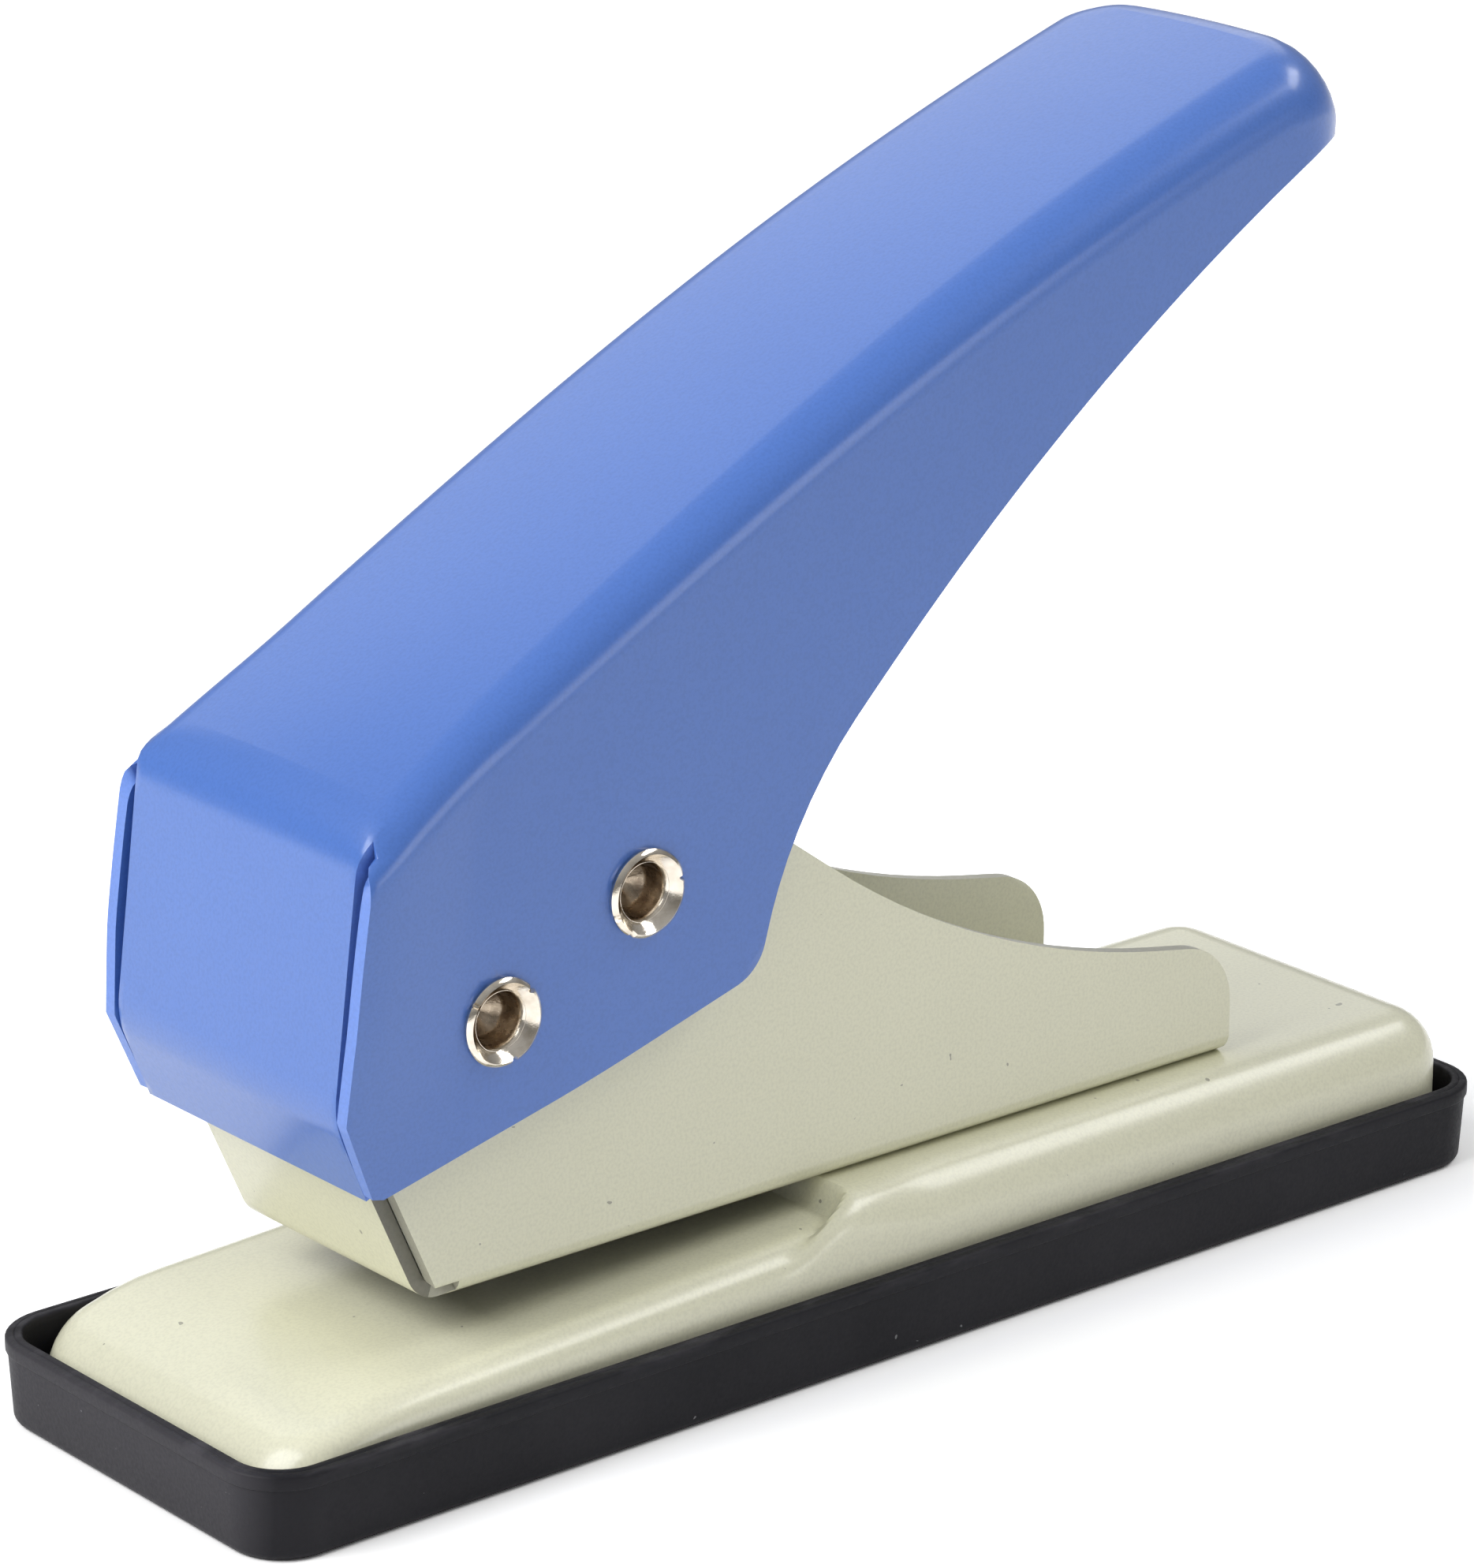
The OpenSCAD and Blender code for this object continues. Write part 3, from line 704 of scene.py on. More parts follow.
@dataclass
class ChipTray:
    """Shallow moulded tray that holds the base and its chips."""

    length: float = 110.0
    width: float = 32.4
    height: float = 6.2
    wall: float = 1.2
    floor: float = 1.5
    corner: float = 4.5
    lip: Flat = (0.16, 1.15)  # how far it stands out, and its height
    draft: float = 0.25
    groove: float = 0.09
    rim_round: float = 0.22
    foot_round: float = 0.7
    rim_drop: float = 1.4
    columns: int = 24

    def profile(self) -> list[Flat]:
        """Inset and height of each ring, from the underside round the rim to the floor."""
        foot, rim, wall, high = self.foot_round, self.rim_round, self.wall, self.height
        stand, under = self.lip[0], high - self.lip[1]
        start, brink = stand + self.draft, high - self.rim_drop * rim
        turns = quarter(5)
        outer = [(start + foot - foot * math.sin(t), foot - foot * math.cos(t)) for t in turns]
        outer += [(stand, under), (stand / 4, under + stand / 2), (0, under + stand)]
        crest = [(rim - rim * math.cos(t), brink + rim * math.sin(t)) for t in turns]
        dips = ((-1.6, 0.4), (-0.8, 0.5), (0, 1.0), (0.8, 0.3), (1.6, 0))
        crest += [(wall / 2 + step * self.groove, high - dip * self.groove) for step, dip in dips]
        inner = [(wall - rim + rim * math.sin(t), high - rim + rim * math.cos(t)) for t in turns]
        return [*outer, *crest, *inner, (wall, self.floor)]

    def build(self) -> bpy.types.Object:
        """Build the tray."""
        reach = self.length / 2 - self.corner
        stations = [lerp(-reach, reach, i / self.columns) for i in range(self.columns + 1)]
        plan = RoundedPlan(self.length, self.width, self.corner, stations)
        skin = Skin()
        rings = [skin.row([(x, y, z) for x, y in plan.ring(inset)]) for inset, z in self.profile()]
        skin.grid(rings, closed=True)
        skin.cap(rings[0])
        skin.cap(rings[-1])
        piece = settle(coat(skin.make("chip_tray_shell"), Finish.TRAY))
        return fit(piece, Body.TRAY, Finish.TRAY, "chip_tray")


@dataclass
class Base:
    """Drawn base with a falling table in front, a paper stop and a rear plateau."""

    length: float = 104.4
    width: float = 29.2
    sheet: float = SHEET
    foot_z: float = 1.5
    plateau_z: float = PLATEAU_Z
    table_z: float = 9.1
    table_fall: float = TABLE_FALL
    front_roll: Flat = (9.5, 2.3)  # length and fall of the rolled front
    corner: float = 4.3
    edges: Flat = (2.5, 4.0)  # round of the upper edge, in front and at the rear
    ends_more: Flat = (0.5, 0.7)  # how far the front and the rear are moved out
    stop_x: float = -4.5
    stop_run: float = 1.5
    side_run: float = 7.5
    side_shift: float = 3.6
    stop_flare: Flat = (11.8, 14.4)  # from the middle, where the stop curves
    die_x: float = PUNCH_X
    die_hole: float = 6.1
    inner_inset: float = 4.2

    def top(self, x: float, y: float) -> float:
        """Height of the top over a point: the table, the plateau or the stop between them."""
        table = self.table_z + (x - self.die_x) * math.tan(math.radians(self.table_fall))
        ahead = max(0.0, 1 - (x + self.length / 2) / self.front_roll[0])
        table -= self.front_roll[1] * ahead * ahead
        flare = ease((abs(y) - self.stop_flare[0]) / (self.stop_flare[1] - self.stop_flare[0]))
        run = lerp(self.stop_run, self.side_run, flare)
        way = min(1.0, max(0.0, (x - self.stop_x + self.side_shift * flare) / run + 0.5))
        step = ease((ease(way) + way) / 2)
        return lerp(min(table, self.plateau_z), self.plateau_z, step)

    def stations(self) -> list[float]:
        """Places along the sides, close together at the stop."""
        reach = self.length / 2 - self.corner
        near, far = self.stop_x - self.side_run, self.stop_x + self.side_run
        coarse = 18
        fine = 46
        ahead = [lerp(-reach, near, i / coarse) for i in range(coarse)]
        stop = [lerp(near, far, i / fine) for i in range(fine)]
        behind = [lerp(far, reach, i / coarse) for i in range(coarse + 1)]
        return [*ahead, *stop, *behind]

    def skin(self) -> bpy.types.Object:
        """The outer skin, from the lower rim over the rounded edge to the top."""
        plan = RoundedPlan(self.length, self.width, self.corner, self.stations(), end_steps=8)
        skin = Skin()

        def place(x: float) -> float:
            """Where a plan's x lies, with both ends moved out a little."""
            front, rear = self.ends_more
            return x - front * ease(-2 * x / self.length) + rear * ease(2 * x / self.length)

        def ring(cuts: Sequence[Flat]) -> Row:
            """Vertices at the inset and drop that belong to the front's edge and to the rear's."""
            (inset, drop), (rear_inset, rear_drop) = cuts
            spots = []
            for (x, y), (rear_x, rear_y) in zip(plan.ring(inset), plan.ring(rear_inset)):
                share = ease((x - self.stop_x) / self.side_run)
                x, y = place(lerp(x, rear_x, share)), lerp(y, rear_y, share)
                spots.append((x, y, self.top(x, y) - lerp(drop, rear_drop, share)))
            return skin.row(spots)

        rim = skin.row([(place(x), y, self.foot_z) for x, y in plan.ring(0)])
        turns = quarter(9)
        rings = [rim]
        rings += [ring([(r * (1 - math.cos(t)), r * (1 - math.sin(t))) for r in self.edges]) for t in turns]
        rings += [ring([(lerp(r, self.inner_inset, i / 3), 0) for r in self.edges]) for i in (1, 2, 3)]
        skin.grid(rings, closed=True)
        front, pairs, rear = plan.rows(rings[-1])
        rows = [front]
        count = len(front) - 1
        for near, far in pairs:
            x, y = near.co.x / MM, near.co.y / MM
            inner = [(x, lerp(y, -y, k / count)) for k in range(1, count)]
            rows.append([near, *skin.row([(u, v, self.top(u, v)) for u, v in inner]), far])
        skin.grid([*rows, rear])
        return skin.make("base_shell", (0, 0, 0))

    def build(self) -> bpy.types.Object:
        """Build the base, with its die hole cut through."""
        piece = coat(self.skin(), Finish.CREAM, Finish.CREAM_EDGE)
        solid = piece.modifiers.new("sheet", "SOLIDIFY")
        solid.thickness = self.sheet * MM
        solid.offset = -1
        solid.material_offset_rim = 1
        r, above = self.die_hole / 2, 20
        drill = turned("die_drill", [(r, 0), (r, above)], (self.die_x, 0, 0), Axis.UP)
        cut = piece.modifiers.new("die", "BOOLEAN")
        cut.object = drill
        cut.solver = "EXACT"
        settle(piece)
        bpy.data.objects.remove(drill)
        return fit(piece, Body.FRAME, Finish.CREAM, "base_plate")


@dataclass
class Bracket:
    """Folded channel that carries the lever: a floor, two side walls and a leaning front wall."""

    width: float = 20.5
    sheet: float = SHEET
    bend: float = 1.5
    front_bend: float = 2.6
    under_z: float = PLATEAU_Z
    rear_x: float = 33.7
    toe_x: float = -37.75
    front_lean: float = 24.0
    front_len: float = 14.1
    slot_x: float = -35.2
    tab_half: float = 9.15
    widen_run: float = 1.6
    cut_edge: float = 0.14
    slot_turns: Flat = (46.0, 78.0)  # degrees of the bend between which it is slit
    wall_front: Flat = (-37.85, 14.4)  # a point on a wall's front edge
    pivot: Flat = PIVOT
    shaft_hole: float = 5.1
    drive_dist: float = 13.2
    drive_angle: float = 27.1
    swing: float = 25.0
    slot_width: float = 5.3
    guide_hole: float = 8.05
    guide_x: float = PUNCH_X

    def turn_list(self) -> list[float]:
        """Angles of the bend's lines, from the floor to the wall, in degrees."""
        low, high = self.slot_turns
        return [0, low / 2, low, (low + high) / 2, high, (high + 90) / 2, 90]

    def bend_point(self, x: float, turn: float, side: Side) -> Point:
        """Point on the outside of the bend between floor and wall."""
        angle = math.radians(turn)
        y = self.width / 2 - self.bend + self.bend * math.sin(angle)
        return x, side.value * y, self.under_z + self.bend * (1 - math.cos(angle))

    def front_at(self, z: float) -> float:
        """Place of a side wall's front edge at a height."""
        return self.wall_front[0] - (z - self.wall_front[1]) * math.tan(math.radians(self.front_lean))

    def wall_outline(self) -> list[Flat]:
        """Upper outline of a side wall, from its low front corner to its low rear corner."""
        brow_z = 25.4
        low_z = self.under_z + self.bend
        return rounded([
            (self.front_at(low_z), low_z, 0),
            (self.front_at(brow_z), brow_z, 4),
            (-35.8, 39.7, 6),
            (-17.1, 43.7, 5),
            (9.8, 24.15, 74),
            (self.rear_x, 19.75, 5),
            (self.rear_x, low_z, 0),
        ], steps=14)

    def drive_slot(self) -> list[Flat]:
        """Outline of the arc slot for the drive shaft."""
        r, dist, steps = self.slot_width / 2, self.drive_dist, 10
        low, high = self.drive_angle - self.swing, self.drive_angle

        def way(angle: float) -> Vector:
            """Direction at an angle in degrees."""
            turn = math.radians(angle)
            return Vector((math.cos(turn), math.sin(turn)))

        out = []
        for reach, start, end, spin in ((dist + r, low, high, high), (dist - r, high, low, low + 180)):
            arc = [lerp(start, end, i / steps) for i in range(steps + 1)]
            out += [Vector(self.pivot) + reach * way(angle) for angle in arc]
            last = Vector(self.pivot) + dist * way(end)
            out += [last + r * way(spin + 180 * i / steps) for i in range(1, steps)]
        return [tuple(p) for p in out]

    def add_wall(self, skin: Skin, side: Side) -> list[Row]:
        """Add one side wall with its bend.

        Args:
            skin: The mesh to add to.
            side: Which side.

        Returns:
            The bend's lines from slot to rear, from the floor's edge to the wall.
        """
        y = side.value * self.width / 2
        turns, ends = self.turn_list(), (self.slot_x, self.rear_x)
        lines = [skin.row([self.bend_point(x, turn, side) for x in ends]) for turn in turns]
        skin.grid(lines)
        free = [turn for turn in turns if turn >= self.slot_turns[1]]
        tips = []
        for turn in free:
            z = self.bend_point(0, turn, side)[2]
            tips.append(skin.row([self.bend_point(self.front_at(z), turn, side)])[0])
        starts = [lines[turns.index(turn)][0] for turn in free]
        skin.grid([[a, b] for a, b in zip(tips, starts)])
        upper = skin.row([(x, y, z) for x, z in self.wall_outline()[1:-1]])
        holes = [
            skin.row([(x, y, z) for x, z in circle(self.pivot, self.shaft_hole)]),
            skin.row([(x, y, z) for x, z in self.drive_slot()]),
        ]
        skin.fill([tips[-1], *upper, lines[-1][1], lines[-1][0]], holes)
        return lines

    def front_rows(self) -> list[Flat]:
        """Side view of the front tab: its x and height, from the slot's end up the front wall."""
        lean = math.radians(self.front_lean)
        top = (self.toe_x - self.front_len * math.sin(lean), self.under_z + self.front_len * math.cos(lean))
        steps = [(self.slot_x - self.bend * k / 8, self.under_z, 0) for k in range(5)]
        return rounded([*steps, (self.toe_x, self.under_z, self.front_bend), (*top, 0)])

    def build(self) -> bpy.types.Object:
        """Build the bracket."""
        skin = Skin()
        near, far = self.add_wall(skin, Side.NEAR), self.add_wall(skin, Side.FAR)
        flat, columns = self.width / 2 - self.bend, 6
        across = [lerp(-flat, flat, i / columns) for i in range(1, columns)]
        inner = skin.row([(self.slot_x, y, self.under_z) for y in across])
        hole = [skin.row([(x, y, self.under_z) for x, y in circle((self.guide_x, 0), self.guide_hole)])]
        skin.fill([near[0][1], near[0][0], *inner, far[0][0], far[0][1]], hole)
        start = [*(line[0] for line in near[2::-1]), *inner, *(line[0] for line in far[:3])]
        wings = [lerp(self.tab_half, flat, k / 2) for k in range(3)]
        ends = [*(-y for y in wings), *(v.co.y / MM for v in inner), *reversed(wings)]
        rows = [start]
        for x, z in self.front_rows()[1:]:
            share = ease((self.slot_x - x) / self.widen_run)
            rows.append(skin.row([
                (x, lerp(v.co.y / MM, y, share), z + (v.co.z / MM - self.under_z) * (1 - share))
                for v, y in zip(start, ends)
            ]))
        skin.grid(rows)
        inside = (0, 0, self.under_z + 12)
        piece = coat(skin.make("bracket_channel", inside), Finish.CREAM, Finish.CREAM_EDGE)
        sheet_metal(piece, self.sheet, self.cut_edge)
        self.mark_faces(piece)
        return fit(piece, Body.FRAME, Finish.CREAM, "bracket")

    def mark_faces(self, piece: bpy.types.Object) -> None:
        """Paint the floor's underside dark, as painted shade that deepens the shadow under the bracket, and
        the tab's cut edges dark, as painted shade of the narrow slot beside it.
        """
        underside_shade = len(piece.data.materials)
        slot_edge_shade = underside_shade + 1
        piece.data.materials.append(Finish.BARE.material)
        piece.data.materials.append(Finish.SHEARED.material)
        floor_z, tab_y, tab_x = self.under_z + 0.05, self.tab_half + 0.4, self.slot_x - self.widen_run
        for face in piece.data.polygons:
            x, y, z = face.center / MM
            looks_down, looks_aside = face.normal.z < -0.98, abs(face.normal.y) > 0.8
            # Painted shade under the floor.
            if looks_down and z < floor_z:
                face.material_index = underside_shade
            # Painted shade on the tab's cut edges in the slot.
            elif looks_aside and abs(y) < tab_y and x < tab_x:
                face.material_index = slot_edge_shade


@dataclass
class Lever:
    """Pressed lever: an arched top with rounded edges, two sides, a round tip and a folded front flap."""

    width: float = LEVER_WIDTH
    sheet: float = SHEET
    bend_ends: Flat = (3.0, 4.1)  # radius of the bend, in front and at the tip
    tip_bend: Flat = (4.2, 6.8)  # the bend round the tip, along and down
    pivot: Flat = PIVOT
    drive: Flat = DRIVE
    neck_hole: float = 4.05
    top_rise: float = 17.75
    top_slope: float = 31.3
    top_radius: float = 415.0
    top_swell: float = 0.72
    swell_run: Flat = (14.0, 66.0)  # where the swell of the top starts and is full
    swell_fall: float = 44.0
    reach: float = 92.0
    tip_corner: float = 6.3
    tip_tuck: float = 0.7
    crown: float = 0.3
    crown_inset: float = 4.0
    front: float = 1.75
    front_line: Flat = (-1.21, 0.794)  # start and lean of the sides' front edge
    brow: Flat = (-43.84, 45.65)
    flap_bend: float = 6.0
    flap_half: float = 11.9
    split_turn: float = 38.0
    split_after: float = 3.1
    split_open: Flat = (0.06, 15.0)  # share that the slit starts with, and degrees in which it opens
    sag_power: int = 5
    flap_step: float = 1.2
    fade_run: float = 4.2
    narrow_run: float = 2.0
    flare: float = 0.9
    flare_run: float = 11.0
    flare_rise: float = 12.0
    edge_bulge: float = 0.15
    fold: Flat = (-46.15, 27.1)
    heel: Flat = (-12.2, 29.4)
    fold_round: float = 6.0
    lip_end: Flat = (-43.75, 21.15)
    chin_z: float = 77.6
    cut_edge: float = 0.2
    half_columns: int = 7
    side_steps: int = 60
    corner_steps: int = 14
    strip_run: float = 13.0
    strip_parts: int = 10

    def arch(self, s: float, h: float) -> Flat:
        """Point in side view at a length s along the top from over the pivot, and a height h over the top."""
        slope = math.radians(self.top_slope)
        foot = self.top_radius - self.top_rise
        centre = (self.pivot[0] + foot * math.sin(slope), self.pivot[1] - foot * math.cos(slope))
        angle = slope - s / self.top_radius
        start, full = self.swell_run
        swell = ease((s - start) / (full - start)) - max(0.0, (s - full) / self.swell_fall) ** 2
        reach = self.top_radius + h + self.top_swell * swell
        return centre[0] - reach * math.sin(angle), centre[1] + reach * math.cos(angle)

    def place(self, s: float, y: float, h: float) -> Point:
        """Point of the pressed top, from its place along and across it and its height over it."""
        x, z = self.arch(s, h)
        return x, y * self.spread(x, z), z

    def spread(self, x: float, z: float) -> float:
        """Width at a point in side view, as a share: over 1 in front, where the sides are sprung apart."""
        ahead = lerp(self.fold[0], self.brow[0], (z - self.fold[1]) / (self.brow[1] - self.fold[1]))
        high = min(1.0, max(0.0, (z - self.lip_end[1]) / self.flare_rise))
        return 1 + self.flare * high * (1 - ease((x - ahead) / self.flare_run)) / (self.width / 2)

    def turns(self) -> list[float]:
        """Angles of the bend's lines, from the top to the side, in degrees."""
        split = self.split_turn
        return [0, split / 3, 2 * split / 3, split, *(lerp(split, 90, i / 5) for i in range(1, 6))]

    def lower_edge(self) -> list[Flat]:
        """Lower outline in side view, from the fold by the belly and the heel to level with the tip."""
        return rounded([
            (*self.fold, 0),
            (*self.lip_end, 0.6),
            (-26.0, 25.35, 160),
            (*self.heel, 3.5),
            (-9.4, 39.85, 30),
            (16.1, 65.05, 178),
            (38.2, self.chin_z, 6),
            (60.0, self.chin_z + 1.0, 0),
        ], steps=12)

    def drop_at(self, s: float) -> float:
        """Height over the top, below zero, at which a section meets the lower outline."""
        depth = 60
        top, deep = Vector(self.arch(s, 0)), Vector(self.arch(s, -depth))
        best = None
        edge = self.lower_edge()
        for a, b in zip(edge, edge[1:]):
            u, v, w = deep - top, Vector(b) - Vector(a), Vector(a) - top
            cross = u.x * v.y - u.y * v.x
            if abs(cross) < 1e-12:
                continue
            t = (w.x * v.y - w.y * v.x) / cross
            q = (w.x * u.y - w.y * u.x) / cross
            if 0 <= q <= 1 and 0 < t and (best is None or t < best):
                best = t
        return -depth * best

    def front_s(self, h: float) -> float:
        """Where the side's front edge lies along the top, at a height h, level with the flap's face."""
        start, lean = self.front_line
        return start + lean * h

    def plan(self) -> tuple[list[float], list[Point]]:
        """Places along the straight side, and along, across and share of way round the near tip corner."""
        r = self.tip_corner
        straight, flat = self.reach - r, self.width / 2 - r
        side = [lerp(self.front, straight, i / self.side_steps) for i in range(self.side_steps + 1)]
        turns = quarter(self.corner_steps)[1:]
        corner = [(straight + r * math.sin(t), -flat - r * math.cos(t), ease(2 * t / math.pi)) for t in turns]
        return side, corner

    def crowned(self, y: float) -> float:
        """Fall of the crowned top at a distance from its middle."""
        return -self.crown * (y / (self.width / 2 - self.crown_inset)) ** 2

    def bend_at(self, s: float) -> float:
        """Radius of the bend along the side, which widens towards the tip."""
        return lerp(*self.bend_ends, ease(s / self.reach))

    def bend_row(self, skin: Skin, turn: float) -> Row:
        """One line of the bend, from the near side's front round the tip to the far side's front."""
        angle = math.radians(turn)
        side, corner = self.plan()
        half = self.width / 2
        near = []
        for s in side:
            radius = self.bend_at(s)
            y = radius * (1 - math.sin(angle)) - half
            near.append(self.place(s, y, self.crowned(half - radius) - radius * (1 - math.cos(angle))))
        straight, flat = self.reach - self.tip_corner, half - self.tip_corner
        last = self.bend_at(straight)
        for s, y, share in corner:
            inset = lerp(last, self.tip_bend[0], share) * (1 - math.sin(angle))
            drop = lerp(last, self.tip_bend[1], share) * (1 - math.cos(angle))
            out = Vector((s - straight, y + flat)).normalized()
            u, v = s - out.x * inset, y - out.y * inset
            fall = self.crowned(half - last) if turn else self.crowned(v)
            near.append(self.place(u, v, lerp(fall, self.crowned(v), share) - drop))
        s = self.reach - self.tip_bend[0] * (1 - math.sin(angle))
        drop = self.tip_bend[1] * (1 - math.cos(angle))
        across = [lerp(-flat, 0, i / self.half_columns) for i in range(1, self.half_columns + 1)]
        half_row = [*near, *(self.place(s, y, self.crowned(y) - drop) for y in across)]
        mirrored = [(x, -y, z) for x, y, z in reversed(half_row[:-1])]
        return skin.row([*half_row, *mirrored])

    def add_top(self, skin: Skin, line: Row) -> list[Row]:
        """Fill the top inside the bend's first line, and return its rows from the front to the tip."""
        side, corner = self.plan()
        count = len(side) + len(corner)
        columns = 2 * self.half_columns
        rows = []
        for i in range(count - 1):
            near, far = line[i], line[-1 - i]
            y = near.co.y / MM
            s = side[i] if i < len(side) else self.reach
            slope = math.radians(self.top_slope) - s / self.top_radius
            base = Vector((near.co.x, near.co.z)) / MM
            inner = []
            for k in range(1, columns):
                v = lerp(y, -y, k / columns)
                lift = self.crowned(v) - self.crowned(y)
                inner.append((base.x - lift * math.sin(slope), v, base.y + lift * math.cos(slope)))
            rows.append([near, *skin.row(inner), far])
        rows.append(line[count - 1 : len(line) - count + 1])
        skin.grid(rows)
        return rows

    def add_lead(self, skin: Skin, bends: list[Row], flap: list[Row], side: Side) -> Row:
        """Add the end of the bend ahead of the top, joined to the flap as far as the slit.

        Args:
            skin: The mesh to add to.
            bends: The bend's lines, from the top to the side.
            flap: The flap's rows, from the top to where the slit starts.
            side: Which side.

        Returns:
            Its lowest line, from the side's front edge to the top's front.
        """
        half, radius = self.width / 2, self.bend_at(self.front)
        runs = [self.split_after * k / (len(flap) - 1) for k in range(1, len(flap))]
        begin = self.front - runs[-1]
        start, widen = self.split_open
        rows = []
        for turn, line in zip(self.turns(), bends):
            if turn < self.split_turn:
                continue
            angle = math.radians(turn)
            drop = self.crowned(half - radius) - radius * (1 - math.cos(angle))
            y = side.value * (half - radius * (1 - math.sin(angle)))
            share = ((90 - turn) / (90 - self.split_turn)) ** self.sag_power
            sag = [share * run * run / (2 * self.flap_bend) for run in runs]
            if turn == self.split_turn:
                joined = [side.pick(row, 0) for row in flap[1:]]
            else:
                spots = [self.place(self.front - run, y, drop - low) for run, low in zip(runs, sag)]
                joined = skin.row(spots)
            reach = min(1.0, start + (turn - self.split_turn) / widen)
            end = lerp(begin, self.front_s(drop - sag[-1]), reach)
            free = skin.row([self.place(lerp(begin, end, k / 3), y, drop - sag[-1]) for k in (1, 2, 3)])
            rows.append([*reversed(free), *reversed(joined), side.pick(line, 0)])
        skin.grid(rows)
        return rows[-1][:-1]

    def add_tip(self, skin: Skin, line: Row, starts: Row, side: Side) -> Row:
        """Add one half of the tip, down to its tucked lower edge.

        Args:
            skin: The mesh to add to.
            line: The bend's last line.
            starts: The upper and the lower vertex where the side ends.
            side: Which half.

        Returns:
            The vertices of its first column, from the upper to the lower line.
        """
        stations, corner = self.plan()
        columns, flat = self.half_columns, self.width / 2 - self.tip_corner
        ends = [(self.reach, lerp(-flat, 0, i / columns), 1.0) for i in range(1, columns + 1)]
        upper, lower, outs = [starts[0]], [starts[1]], [Vector((0, 0, 0))]
        for i, (s, y, share) in enumerate([*corner, *ends]):
            away = Vector((s - self.reach + self.tip_corner, min(0.0, y + flat))).normalized()
            out = away * self.tip_tuck * share
            upper.append(side.pick(line, len(stations) + i))
            lower += skin.row([self.place(s - out.x, -side.value * (y - out.y), self.drop_at(s))])
            outs.append(Vector((out.x, -side.value * out.y, 0)) * MM)
        return self.add_skirt(skin, upper, lower, outs)

    def side_edge(self, last: Flat) -> list[Flat]:
        """The lower outline from the fold to a side's last point, short of the tip."""
        near_tip_z, slack = 60, 0.05
        edge = []
        for point in self.lower_edge():
            if point[0] > last[0] - slack and point[1] > near_tip_z:
                break
            edge.append(point)
        return [*edge, last]

    def add_side(self, skin: Skin, bends: list[Row], flap: list[Row], side: Side) -> None:
        """Add one flat side, with its lead to the flap and its half of the tip.

        Args:
            skin: The mesh to add to.
            bends: The bend's lines, from the top to the side.
            flap: The flap's rows, from the top to where the slit starts.
            side: Which side.
        """
        stations = self.plan()[0]
        half, parts = self.width / 2, self.strip_parts
        lead = self.add_lead(skin, bends, flap, side)
        strip = len(flap) + 6
        upper = [*lead, *(side.pick(bends[-1], i) for i in range(len(stations)))]
        last = self.arch(stations[-1], self.drop_at(stations[-1]))
        lip, belly = parted(self.side_edge(last), self.strip_run)
        spots = [*spaced(lip, strip + 1), *spaced(belly, len(upper) - strip, self.heel)[1:]]
        lower = skin.row([(x, side.value * half * self.spread(x, z), z) for x, z in spots])
        seam = self.add_tip(skin, bends[-1], [upper[-1], lower[-1]], side)
        holes = []
        for centre in (self.pivot, self.drive):
            holes.append(skin.row([(x, side.value * half, z) for x, z in circle(centre, self.neck_hole)]))
        columns = []
        for i in range(strip + 1):
            column = [lower[i]]
            for k in range(1, parts):
                x, _, z = lower[i].co.lerp(upper[i].co, k / parts) / MM
                x -= self.edge_bulge * math.sin(math.pi * k / parts) * (1 - i / strip)
                column += skin.row([(x, side.value * half * self.spread(x, z), z)])
            columns.append([*column, upper[i]])
        skin.grid(columns)
        skin.fill([*upper[strip:], *seam[1:-1], *reversed(lower[strip:]), *columns[-1][1:-1]], holes)

    def add_skirt(self, skin: Skin, upper: Row, lower: Row, outs: list[Vector]) -> Row:
        """Faces from the bend's last line round the tip down to the tucked lower edge.

        Args:
            skin: The mesh to add to.
            upper: The bend's last line.
            lower: The lower edge, point for point.
            outs: How far out of its place each point of the lower edge would be if it weren't tucked in.

        Returns:
            The vertices of the first column, from the upper to the lower line.
        """
        bands = 8
        rows = [upper]
        for k in range(1, bands):
            q = k / bands
            rows.append(skin.row([
                tuple((a.co.lerp(b.co, q) + out * (q - q * q)) / MM) for a, b, out in zip(upper, lower, outs)
            ]))
        rows.append(lower)
        skin.grid(rows)
        return [row[0] for row in rows]

    def flap_path(self) -> list[Flat]:
        """Side view of the flap, from the top's front over the front bend and the fold to the lip's end."""
        brow_round = self.flap_bend - 0.1
        return rounded([
            (*self.arch(self.front, 0), 0),
            (*self.brow, brow_round),
            (*self.fold, self.fold_round),
            (*self.lip_end, 0),
        ])

